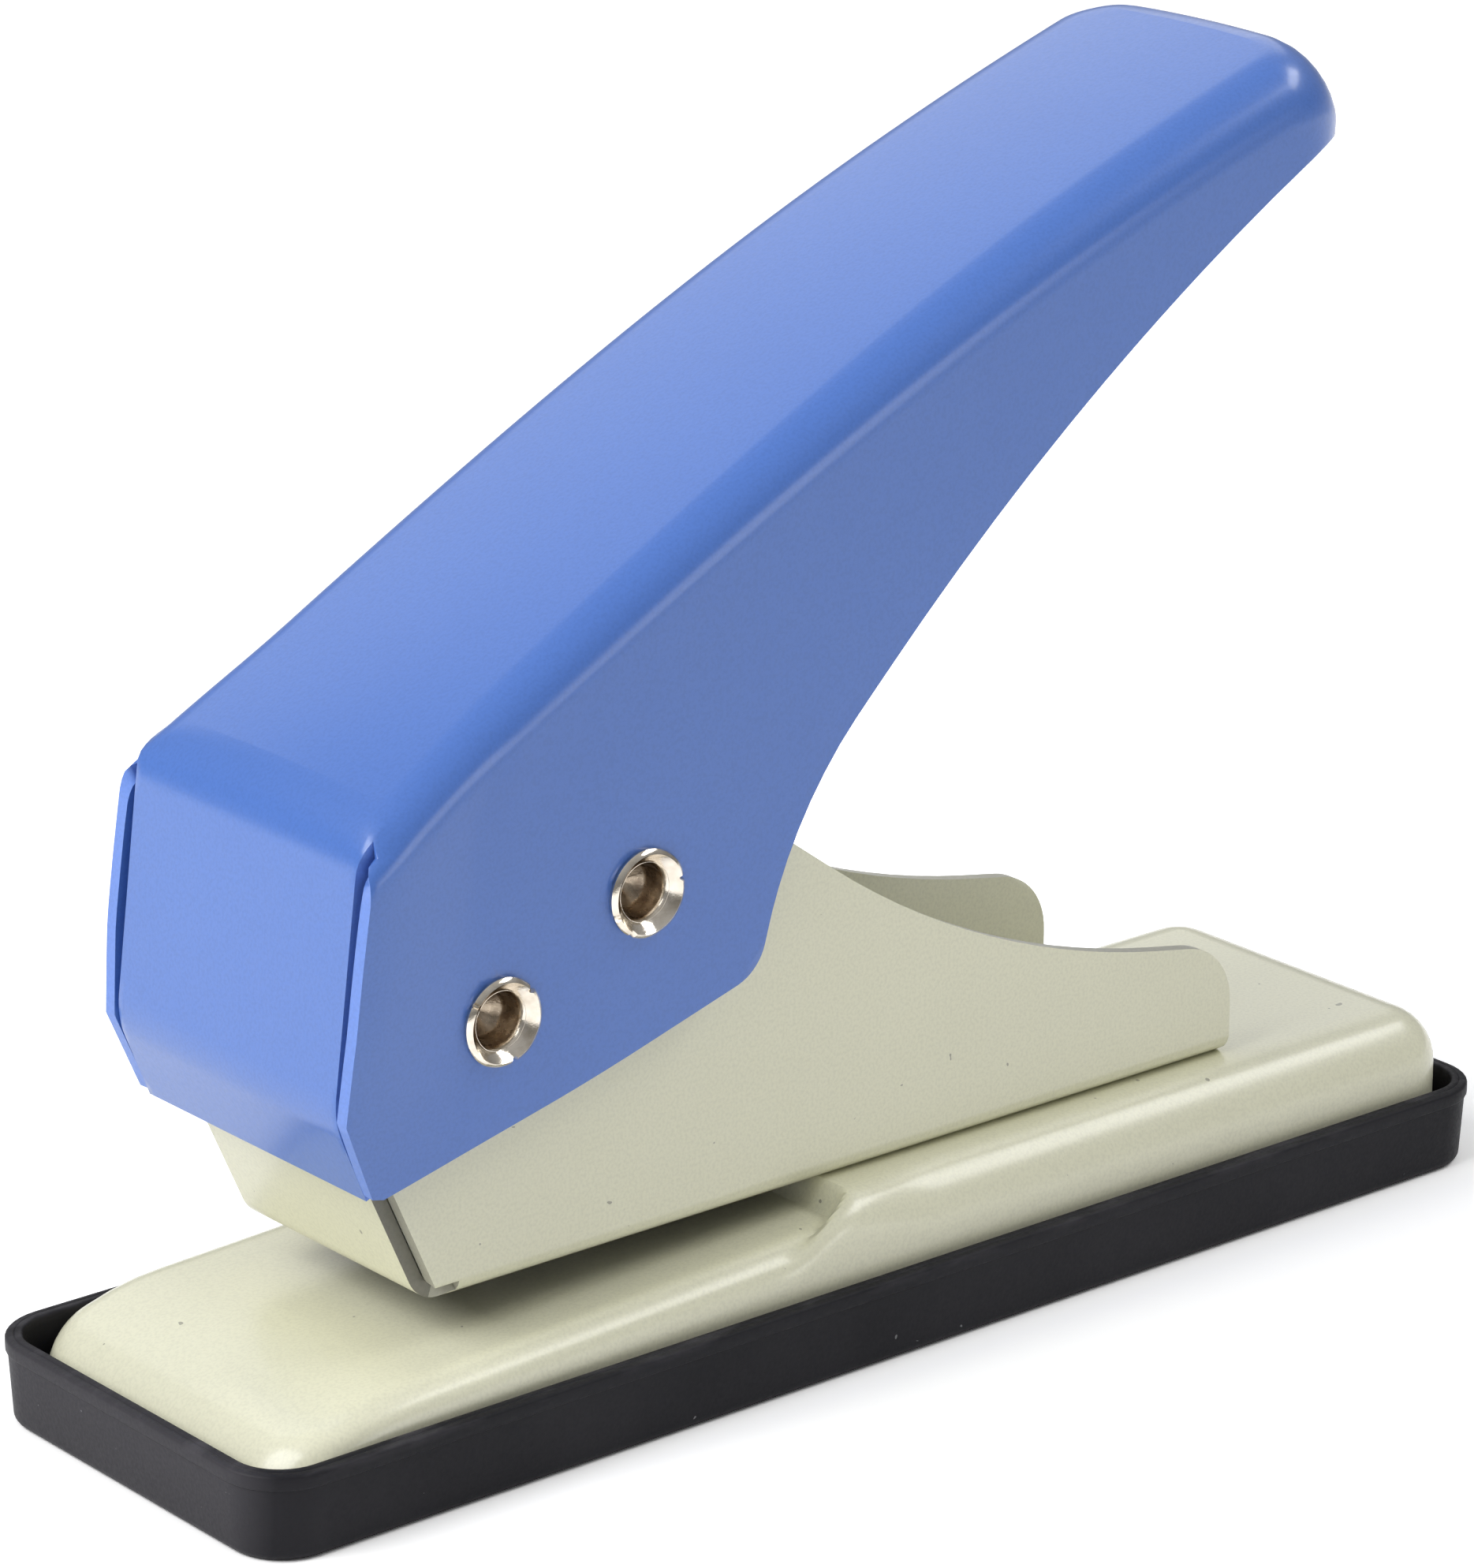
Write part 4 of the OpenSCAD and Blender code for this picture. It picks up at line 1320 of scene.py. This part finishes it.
    def add_flap(self, skin: Skin, front: Row) -> list[Row]:
        """Add the flap to the front of the top.

        Args:
            skin: The mesh to add to.
            front: The front vertices of the top and of the bend's first lines, from near to far.

        Returns:
            The flap's rows, from the top to where the slits beside it start.
        """
        start_z = self.arch(self.front, 0)[1]
        slope = math.radians(self.top_slope)
        falls = [(v.co.y / MM, (v.co.z / MM - start_z) / math.cos(slope)) for v in front]
        path = self.flap_path()
        dense = [path[0]]
        for a, b in zip(path, path[1:]):
            pieces = max(1, round((Vector(b) - Vector(a)).length / self.flap_step))
            shares = [k / pieces for k in range(1, pieces + 1)]
            dense += [(lerp(a[0], b[0], t), lerp(a[1], b[1], t)) for t in shares]
        rows, joined, run = [front], [front], 0.0
        for a, b in zip(dense, dense[1:]):
            along = Vector(b) - Vector(a)
            run += along.length
            out = Vector((along.y, -along.x)).normalized()
            fade = 1 - ease(run / self.fade_run)
            narrow = lerp(1, self.flap_half / falls[-1][0], ease((run - self.split_after) / self.narrow_run))
            rows.append(skin.row([
                (b[0] + out.x * fall * fade, y * narrow, b[1] + out.y * fall * fade) for y, fall in falls
            ]))
            if run <= self.split_after:
                joined.append(rows[-1])
        skin.grid(rows)
        return joined

    def build(self) -> bpy.types.Object:
        """Build the lever."""
        skin = Skin()
        bends = [self.bend_row(skin, turn) for turn in self.turns()]
        skin.grid(bends)
        top = self.add_top(skin, bends[0])
        shared = [line for t, line in zip(self.turns(), bends) if 0 < t <= self.split_turn]
        front = [line[0] for line in reversed(shared)] + top[0] + [line[-1] for line in shared]
        flap = self.add_flap(skin, front)
        for side in Side:
            self.add_side(skin, bends, flap, side)
        inside = (-5, 0, 50)
        piece = coat(skin.make("lever_shell", inside), Finish.BLUE, Finish.BLUE_EDGE)
        sheet_metal(piece, self.sheet, self.cut_edge)
        return fit(piece, Body.HANDLE, Finish.BLUE, "handle")


@dataclass
class Shafts:
    """The two shafts between the lever's sides, with hollow rolled heads, and their spacers."""

    pivot: Flat = PIVOT
    drive: Flat = DRIVE
    shaft: float = 5.0
    neck: float = 4.0
    head: float = 6.0
    head_t: float = 0.62
    hollow: float = 3.4
    hollow_depth: float = 2.9
    hollow_wave: Flat = (0.015, 0.03)  # dents in the hollow, as a share of the radius and along
    rim_wave: Flat = (0.012, 0.02)  # dents of the rim, outwards and along
    rim_nick: Flat = (0.12, 0.18)  # splits of the rim, inwards and along
    lever_w: float = LEVER_WIDTH
    lever_t: float = SHEET
    spacer: float = 8.0
    spacer_t: float = 1.35

    def head_profile(self) -> list[Flat]:
        """Radius and place of one head, from its drilled point up the mouth and over the rim to the neck."""
        face, rim = self.lever_w / 2, self.head / 2
        mouth = self.hollow / 2
        cone = [(0.05, face - self.hollow_depth), (mouth - 0.2, face - self.hollow_depth + 0.9)]
        tube = [(mouth - 0.08, face - self.hollow_depth + 1.1), (mouth - 0.04, face - 0.9)]
        flare = [(mouth + 0.06, face - 0.4), (mouth + 0.26, face - 0.05), (mouth + 0.52, face + 0.22)]
        crest = [(mouth + 0.78, face + 0.42), (rim - 0.32, face + self.head_t), (rim - 0.12, face + 0.52)]
        outside = [(rim, face + 0.34), (rim - 0.02, face + 0.14), (rim - 0.1, face + 0.01)]
        neck = [(self.neck / 2, face + 0.01), (self.neck / 2, face - self.lever_t)]
        return [*cone, *tube, *flare, *crest, *outside, *neck]

    def warp(self, seed: float) -> Callable[[float, float, float], Flat]:
        """Small dents and rim splits of a rolled head.

        Args:
            seed: Sets where they lie.

        Returns:
            What turns an angle, a radius and a place into a changed radius and place.
        """
        face = self.lever_w / 2

        def change(angle: float, radius: float, along: float) -> Flat:
            """Move one point of a head."""
            side = 1 if along > 0 else -1
            beyond = abs(along) - face
            wave = math.sin(3 * angle + seed) + 0.6 * math.sin(5 * angle + 2.3 * seed)
            wave += 0.4 * math.sin(9 * angle)
            if radius < self.hollow / 2:
                share, sink = self.hollow_wave
                return radius * (1 + share * wave), along + side * sink * wave
            if beyond < 0.005:
                return radius, along
            split = max(math.cos(angle - seed * k) for k in (1.0, 2.9, 4.3))
            nick = ease((split - 0.9975) / 0.002) * ease((radius - self.hollow / 2 - 0.6) / 0.4)
            (out, up), (deep, low) = self.rim_wave, self.rim_nick
            return radius - deep * nick + out * wave, along + side * (up * wave - low * nick)

        return change

    def build_shaft(self, name: str, at: Flat, seed: float) -> bpy.types.Object:
        """Build one shaft, with a head at each end."""
        inside = self.lever_w / 2 - self.lever_t
        one = self.head_profile()
        core = [(self.shaft / 2, inside), (self.shaft / 2, -inside)]
        profile = [*one, *core, *((r, -h) for r, h in reversed(one))]
        centre = (at[0], 0, at[1])
        piece = turned(f"{name}_rolled", profile, centre, Axis.ACROSS, steps=144, warp=self.warp(seed))
        coat(piece, Finish.NICKEL, Finish.NICKEL_HOLLOW)
        for face in piece.data.polygons:
            off = Vector((face.center.x / MM - at[0], face.center.z / MM - at[1])).length
            face.material_index = int(off < self.hollow / 2 + 0.1)
        return fit(piece, Body.HANDLE, Finish.NICKEL, name)

    def build_spacer(self, name: str, at: Flat, side: Side) -> bpy.types.Object:
        """Build one spacer, with chamfered edges."""
        half, edge, slack = self.spacer_t / 2, 0.2, 0.02
        profile = chamfered(self.shaft / 2 + slack, self.spacer / 2, -half, half, edge)
        y = side.value * (self.lever_w / 2 - self.lever_t - self.spacer_t / 2)
        piece = turned(f"{name}_ring", profile, (at[0], y, at[1]), Axis.ACROSS, ring=True)
        return fit(coat(piece, Finish.NYLON), Body.HANDLE, Finish.NYLON, name)

    def build(self) -> None:
        """Build both shafts and the four spacers."""
        for name, at, seed in (("pivot", self.pivot, 1.3), ("drive", self.drive, 2.1)):
            self.build_shaft(f"{name}_shaft", at, seed)
            self.build_spacer(f"{name}_spacer_left", at, Side.FAR)
            self.build_spacer(f"{name}_spacer_right", at, Side.NEAR)


class Nodes(Graph):
    """A geometry node tree with named inputs, used once on an object of its own."""

    def __init__(self, name: str) -> None:
        """Make an empty tree with a geometry output."""
        super().__init__(bpy.data.node_groups.new(name, "GeometryNodeTree"))
        self.tree.interface.new_socket(name="Geometry", in_out="OUTPUT", socket_type="NodeSocketGeometry")
        self.inlet = self.node("NodeGroupInput")
        self.values: dict[str, object] = {}

    def take(self, name: str, kind: str, value: object) -> bpy.types.NodeSocket:
        """Add a named input with its value, and return its socket inside the tree."""
        socket = self.tree.interface.new_socket(name=name, in_out="INPUT", socket_type=kind)
        self.values[socket.identifier] = value
        return self.inlet.outputs[name]

    def feed(self, target: bpy.types.NodeSocket, name: str, kind: str, value: object) -> None:
        """Add a named input with its value, and join it to a socket."""
        self.link(self.take(name, kind, value), target)

    def run(self, name: str, geometry: bpy.types.NodeSocket, finish: Finish) -> bpy.types.Object:
        """End the tree and make its result a plain mesh.

        Args:
            name: The object's name.
            geometry: The tree's last geometry.
            finish: The finish that it sets.

        Returns:
            The object, at the origin.
        """
        real = self.node("GeometryNodeRealizeInstances")
        dress = self.node("GeometryNodeSetMaterial")
        dress.inputs["Material"].default_value = finish.material
        outlet = self.node("NodeGroupOutput")
        self.link(geometry, real.inputs["Geometry"])
        self.link(real.outputs["Geometry"], dress.inputs["Geometry"])
        self.link(dress.outputs["Geometry"], outlet.inputs["Geometry"])
        obj = bpy.data.objects.new(name, bpy.data.meshes.new(name))
        bpy.context.scene.collection.objects.link(obj)
        modifier = obj.modifiers.new("nodes", "NODES")
        modifier.node_group = self.tree
        for identifier, value in self.values.items():
            modifier[identifier] = value
        return settle(obj)


@dataclass
class Punch:
    """The cutting pin with its clip and washer, the guide and die it runs in, and its return spring."""

    x: float = PUNCH_X
    pin: float = 6.0
    tip_z: float = 12.8
    top_z: float = 34.493
    groove: float = 4.6
    groove_below: float = 1.7
    clip: float = 9.4
    clip_t: float = 0.7
    clip_mouth: float = 3.6
    washer: float = 12.0
    washer_t: float = 0.8
    floor_z: float = FLOOR_Z
    guide: float = 8.0
    guide_h: float = 4.4
    flange: float = 12.5
    flange_t: float = 1.2
    die: float = 13.0
    die_t: float = 2.2
    die_top: float = 8.1
    die_fall: float = TABLE_FALL
    wire: float = 0.9
    coil: float = 9.8
    turns: float = 8.0
    running: float = 0.05

    @property
    def washer_top(self) -> float:
        """Height of the washer's upper face, where the clip sits."""
        return self.top_z - self.groove_below - self.clip_t

    def build_pin(self) -> bpy.types.Object:
        """Build the pin, grooved for its clip and hollow at its tip."""
        r, neck, edge, low, high = self.pin / 2, self.groove / 2, 0.25, self.tip_z, self.top_z
        clip = self.washer_top
        profile = [
            (0.2, low + 0.8), (1.2, low + 0.7), (2.2, low + 0.4), (r, low),
            (r, clip), (neck, clip), (neck, clip + self.clip_t), (r, clip + self.clip_t),
            (r, high - edge), (r - edge, high), (0.2, high),
        ]
        piece = turned("punch_pin_ground", profile, (self.x, 0, 0), Axis.UP)
        return fit(coat(piece, Finish.STEEL), Body.PUNCH, Finish.STEEL, "punch_pin")

    def build_ring(self, name: str, node: str, body: Body, profile: Sequence[Flat]) -> bpy.types.Object:
        """Build one turned ring on the pin's axis."""
        piece = turned(name, profile, (self.x, 0, 0), Axis.UP, ring=True)
        return fit(coat(piece, Finish.STEEL), body, Finish.STEEL, node)

    def build_die(self) -> bpy.types.Object:
        """Build the die ring under the table, tilted with it."""
        bore, outer, edge = self.pin / 2 + self.running, self.die / 2, 0.3
        profile = [
            (bore, -self.die_t), (outer - edge, -self.die_t), (outer, edge - self.die_t),
            (outer, 0), (bore, 0),
        ]
        piece = turned("die_ring_ground", profile, (0, 0, 0), Axis.UP, ring=True)
        tilt = Matrix.Rotation(math.radians(-self.die_fall), 4, "Y")
        piece.data.transform(Matrix.Translation(Vector((self.x, 0, self.die_top)) * MM) @ tilt)
        return fit(coat(piece, Finish.STEEL), Body.FRAME, Finish.STEEL, "die_ring")

    def build_clip(self) -> bpy.types.Object:
        """Build the retaining clip, open at the rear, with softened edges."""
        slack, steps = 0.01, 40
        outer, inner, half = self.clip / 2, self.groove / 2 + 2 * slack, self.clip_mouth / 2
        gaps = (math.asin(half / outer), math.asin(half / inner))
        low, high = self.washer_top + slack, self.washer_top + self.clip_t - slack
        skin = Skin()
        rows = []
        for i in range(steps + 1):
            a, b = (lerp(gap, 2 * math.pi - gap, i / steps) for gap in gaps)
            out = (self.x + outer * math.cos(a), outer * math.sin(a))
            bore = (self.x + inner * math.cos(b), inner * math.sin(b))
            rows.append(skin.row([(*out, low), (*out, high), (*bore, high), (*bore, low)]))
        skin.grid(rows, closed=True)
        skin.cap(rows[0])
        skin.cap(rows[-1])
        piece = skin.make("retaining_clip_sprung")
        soft = piece.modifiers.new("edges", "BEVEL")
        soft.width = 0.08 * MM
        soft.segments = 2
        return fit(coat(settle(piece), Finish.STEEL), Body.PUNCH, Finish.STEEL, "retaining_clip")

    def build_spring(self) -> bpy.types.Object:
        """Build the return spring at its rest length; the real one shortens as the pin goes down."""
        low = self.floor_z + self.flange_t + self.running
        high = self.washer_top - self.washer_t - self.running
        nodes = Nodes("coil_of_wire")
        spiral = nodes.node("GeometryNodeCurveSpiral")
        nodes.feed(spiral.inputs["Resolution"], "Steps a turn", "NodeSocketInt", 40)
        nodes.feed(spiral.inputs["Rotations"], "Turns", "NodeSocketFloat", self.turns)
        radius = nodes.take("Coil radius", "NodeSocketFloat", self.coil / 2 * MM)
        nodes.link(radius, spiral.inputs["Start Radius"])
        nodes.link(radius, spiral.inputs["End Radius"])
        nodes.feed(spiral.inputs["Height"], "Rise", "NodeSocketFloat", (high - low - self.wire) * MM)
        ring = nodes.node("GeometryNodeCurvePrimitiveCircle")
        ring.inputs["Resolution"].default_value = 12
        nodes.feed(ring.inputs["Radius"], "Wire radius", "NodeSocketFloat", self.wire / 2 * MM)
        tube = nodes.node("GeometryNodeCurveToMesh")
        tube.inputs["Fill Caps"].default_value = True
        nodes.link(spiral.outputs["Curve"], tube.inputs["Curve"])
        nodes.link(ring.outputs["Curve"], tube.inputs["Profile Curve"])
        move = nodes.node("GeometryNodeTransform")
        place = Vector((self.x, 0, low + self.wire / 2)) * MM
        nodes.feed(move.inputs["Translation"], "Foot", "NodeSocketVector", place)
        nodes.link(tube.outputs["Mesh"], move.inputs["Geometry"])
        piece = nodes.run("return_spring_coil", move.outputs["Geometry"], Finish.SPRING)
        fit(piece, Body.FRAME, Finish.SPRING, "return_spring")
        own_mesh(piece)
        return piece

    def build(self) -> None:
        """Build the pin, the rings round it, the die and the spring."""
        self.build_pin()
        bore = self.pin / 2 + self.running
        top, edge = self.washer_top, 0.15
        washer = chamfered(bore, self.washer / 2, top - self.washer_t, top, edge)
        self.build_ring("spring_washer_flat", "spring_washer", Body.PUNCH, washer)
        under, floor = self.floor_z - SHEET, self.floor_z
        brim, neck = self.flange / 2, self.guide / 2
        shoulder = floor + self.flange_t
        peak = shoulder + self.guide_h
        self.build_ring("punch_guide_bush", "punch_guide", Body.FRAME, [
            (bore, under), (neck, under), (neck, floor), (brim, floor), (brim, shoulder - edge),
            (brim - edge, shoulder), (neck, shoulder), (neck, peak - edge), (neck - edge, peak), (bore, peak),
        ])
        self.build_clip()
        self.build_die()
        self.build_spring()


@dataclass
class BaseRivets:
    """Four rivets that hold the bracket on the base."""

    first_x: float = 2.0
    along: float = 22.0
    across: float = 10.0
    shank: float = 3.0
    head: float = 5.4
    head_t: float = 0.9
    under_z: float = PLATEAU_Z - SHEET
    floor_z: float = FLOOR_Z

    def form(self) -> bpy.types.Object:
        """One rivet on the axis, with a domed head above and a flat one below."""
        r, shank, edge = self.head / 2, self.shank / 2, 0.2
        under, floor = self.under_z, self.floor_z
        foot, peak = under - self.head_t, floor + self.head_t
        dome = [(r * math.cos(t), floor + self.head_t * math.sin(t)) for t in quarter(8)[:-1]]
        profile = [
            (edge, foot), (r - edge, foot), (r, foot + edge), (r, under), (shank, under),
            (shank, floor), *dome, (edge, peak),
        ]
        return turned("rivet_form", profile, (0, 0, 0), Axis.UP, steps=40)

    def build(self) -> bpy.types.Object:
        """Build the four rivets as one piece."""
        form = self.form()
        nodes = Nodes("rivets_on_floor")
        pattern = nodes.node("GeometryNodeMeshGrid")
        pattern.inputs["Vertices X"].default_value = 2
        pattern.inputs["Vertices Y"].default_value = 2
        nodes.feed(pattern.inputs["Size X"], "Along", "NodeSocketFloat", self.along * MM)
        nodes.feed(pattern.inputs["Size Y"], "Across", "NodeSocketFloat", self.across * MM)
        source = nodes.node("GeometryNodeObjectInfo")
        nodes.feed(source.inputs["Object"], "Rivet", "NodeSocketObject", form)
        spread = nodes.node("GeometryNodeInstanceOnPoints")
        nodes.link(pattern.outputs["Mesh"], spread.inputs["Points"])
        nodes.link(source.outputs["Geometry"], spread.inputs["Instance"])
        move = nodes.node("GeometryNodeTransform")
        middle = Vector((self.first_x + self.along / 2, 0, 0)) * MM
        nodes.feed(move.inputs["Translation"], "Middle", "NodeSocketVector", middle)
        nodes.link(spread.outputs["Instances"], move.inputs["Geometry"])
        piece = nodes.run("base_rivets", move.outputs["Geometry"], Finish.STEEL)
        bpy.data.objects.remove(form)
        return fit(piece, Body.FRAME, Finish.STEEL, *(f"base_rivet_{i}" for i in range(1, 5)))


# Stage


@dataclass(frozen=True)
class SoftBox:
    """One soft light that points at the punch.

    It stands in a direction seen from the punch, with its width about along another, and has a width and
    height in millimetres and a power in watts. Where gloss_only is set, it shows only as a highlight.
    """

    name: str
    direction: Point
    along: Point
    size: Flat
    power: float
    gloss_only: bool = False


@dataclass
class Studio:
    """Pale floor, soft light and a camera at the photograph's angle."""

    azimuth: float = -39.96
    elevation: float = 18.72
    roll: float = 0.25
    target: Point = (-2.59, 1.07, 36.68)
    distance: float = 419.49
    focal_px: float = 7855.71
    image_px: tuple[int, int] = (1869, 1988)
    floor_radius: float = 3000.0
    floor_gap: float = 0.02
    floor_tones: Flat = (0.94, 1.36)  # as it lights the punch, and as it is seen
    sensor: float = 36.0
    light_reach: float = 900.0
    lights: tuple[SoftBox, ...] = (
        SoftBox("key", (-0.75, 0.15, 0.68), (0, 1, 0), (700, 500), 6.7),
        SoftBox("strip", (0.62, -0.28, 0.73), (0.46, 0.57, 0.25), (560, 220), 2.4),
        SoftBox("panel", (0.41, -0.91, 0.14), (0.91, 0.41, 0), (210, 270), 0.6, gloss_only=True),
        SoftBox("back", (0.42, 0.72, 0.60), (1, 0, 0), (900, 500), 1.25, gloss_only=True),
    )
    room_levels: tuple[Flat, ...] = ((0.49, 0.56), (0.59, 0.38), (0.95, 0.78))  # heights and their light
    room_strength: float = 0.6

    def back(self) -> Vector:
        """Direction from the target to the camera."""
        az, el = math.radians(self.azimuth), math.radians(self.elevation)
        return Vector((math.sin(az) * math.cos(el), -math.cos(az) * math.cos(el), math.sin(el)))

    def add_camera(self) -> None:
        """Add the camera."""
        back = self.back()
        az, roll = math.radians(self.azimuth), math.radians(self.roll)
        right = Vector((math.cos(az), math.sin(az), 0))
        up = back.cross(right)
        right, up = right * math.cos(roll) + up * math.sin(roll), up * math.cos(roll) - right * math.sin(roll)
        data = bpy.data.cameras.new("camera")
        data.sensor_fit = "VERTICAL"
        data.sensor_height = self.sensor
        data.sensor_width = self.sensor
        data.lens = self.focal_px / self.image_px[1] * self.sensor
        data.clip_start = 0.01
        data.clip_end = 20
        camera = bpy.data.objects.new("camera", data)
        spin = Matrix((right, up, back)).transposed().to_4x4()
        camera.matrix_world = Matrix.Translation((Vector(self.target) + back * self.distance) * MM) @ spin
        bpy.context.scene.collection.objects.link(camera)
        bpy.context.scene.camera = camera

    def add_floor(self) -> None:
        """Add the floor just under the tray."""
        skin = Skin()
        ring = skin.row([(x, y, -self.floor_gap) for x, y in circle((0, 0), 2 * self.floor_radius, 96)])
        skin.cap(ring)
        floor = skin.make("floor")
        shade = Shade("floor_paper")
        shade.set(Roughness=0.85, Specular_IOR_Level=0.1)
        rays = shade.node("ShaderNodeLightPath").outputs
        seen = shade.node("ShaderNodeMath", operation="MAXIMUM")
        shade.link(rays["Is Camera Ray"], seen.inputs[0])
        either = shade.node("ShaderNodeMath", operation="MAXIMUM")
        shade.link(rays["Is Glossy Ray"], either.inputs[0])
        shade.link(rays["Is Transmission Ray"], either.inputs[1])
        shade.link(either.outputs[0], seen.inputs[1])
        lighting, shown = ((level, level, level) for level in self.floor_tones)
        tone = shade.mix(seen.outputs[0], lighting, shown)
        shade.link(tone, shade.shader.inputs["Base Color"])
        floor.data.materials.append(shade.material)

    def add_light(self, box: SoftBox) -> None:
        """Add one soft box."""
        data = bpy.data.lights.new(box.name, "AREA")
        data.shape = "RECTANGLE"
        data.size, data.size_y = (v * MM for v in box.size)
        data.energy = box.power
        light = bpy.data.objects.new(box.name, data)
        light.visible_diffuse = not box.gloss_only
        out, along = Vector(box.direction).normalized(), Vector(box.along)
        wide = (along - out * out.dot(along)).normalized()
        spin = Matrix((wide, out.cross(wide), out)).transposed().to_4x4()
        light.matrix_world = Matrix.Translation((Vector(self.target) + out * self.light_reach) * MM) @ spin
        bpy.context.scene.collection.objects.link(light)

    def add_world(self) -> None:
        """Add the room's even light, dimmer towards the floor and where the camera stands."""
        world = bpy.data.worlds.new("room")
        bpy.context.scene.world = world
        world.use_nodes = True
        room = Graph(world.node_tree)
        background = room.tree.nodes["Background"]
        place = room.node("ShaderNodeTexCoord").outputs["Generated"]
        parts = room.node("ShaderNodeSeparateXYZ")
        room.link(place, parts.inputs["Vector"])
        ramp = room.node("ShaderNodeValToRGB")
        ramp.color_ramp.elements.new(0.5)
        for stop, (position, level) in zip(ramp.color_ramp.elements, self.room_levels):
            stop.position = position
            stop.color = (level, level, level, 1)
        room.link(room.range(parts.outputs["Z"], -1, 1, (0, 1)), ramp.inputs["Fac"])
        room.link(ramp.outputs["Color"], background.inputs["Color"])
        background.inputs["Strength"].default_value = self.room_strength

    def build(self) -> None:
        """Build the stage."""
        bpy.context.scene.view_settings.view_transform = "Standard"
        self.add_camera()
        self.add_floor()
        self.add_world()
        for box in self.lights:
            self.add_light(box)


def clear_scene() -> None:
    """Remove the objects of Blender's own start-up scene."""
    for obj in list(bpy.data.objects):
        bpy.data.objects.remove(obj)


def main() -> None:
    """Load the solids, and build each sub-assembly and the stage."""
    logging.basicConfig(level=logging.INFO, format="%(name)s: %(message)s")
    clear_scene()
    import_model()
    Studio().build()
    ChipTray().build()
    Base().build()
    Bracket().build()
    BaseRivets().build()
    Punch().build()
    Shafts().build()
    Lever().build()
    bpy.context.view_layer.update()


if __name__ == "__main__":
    main()
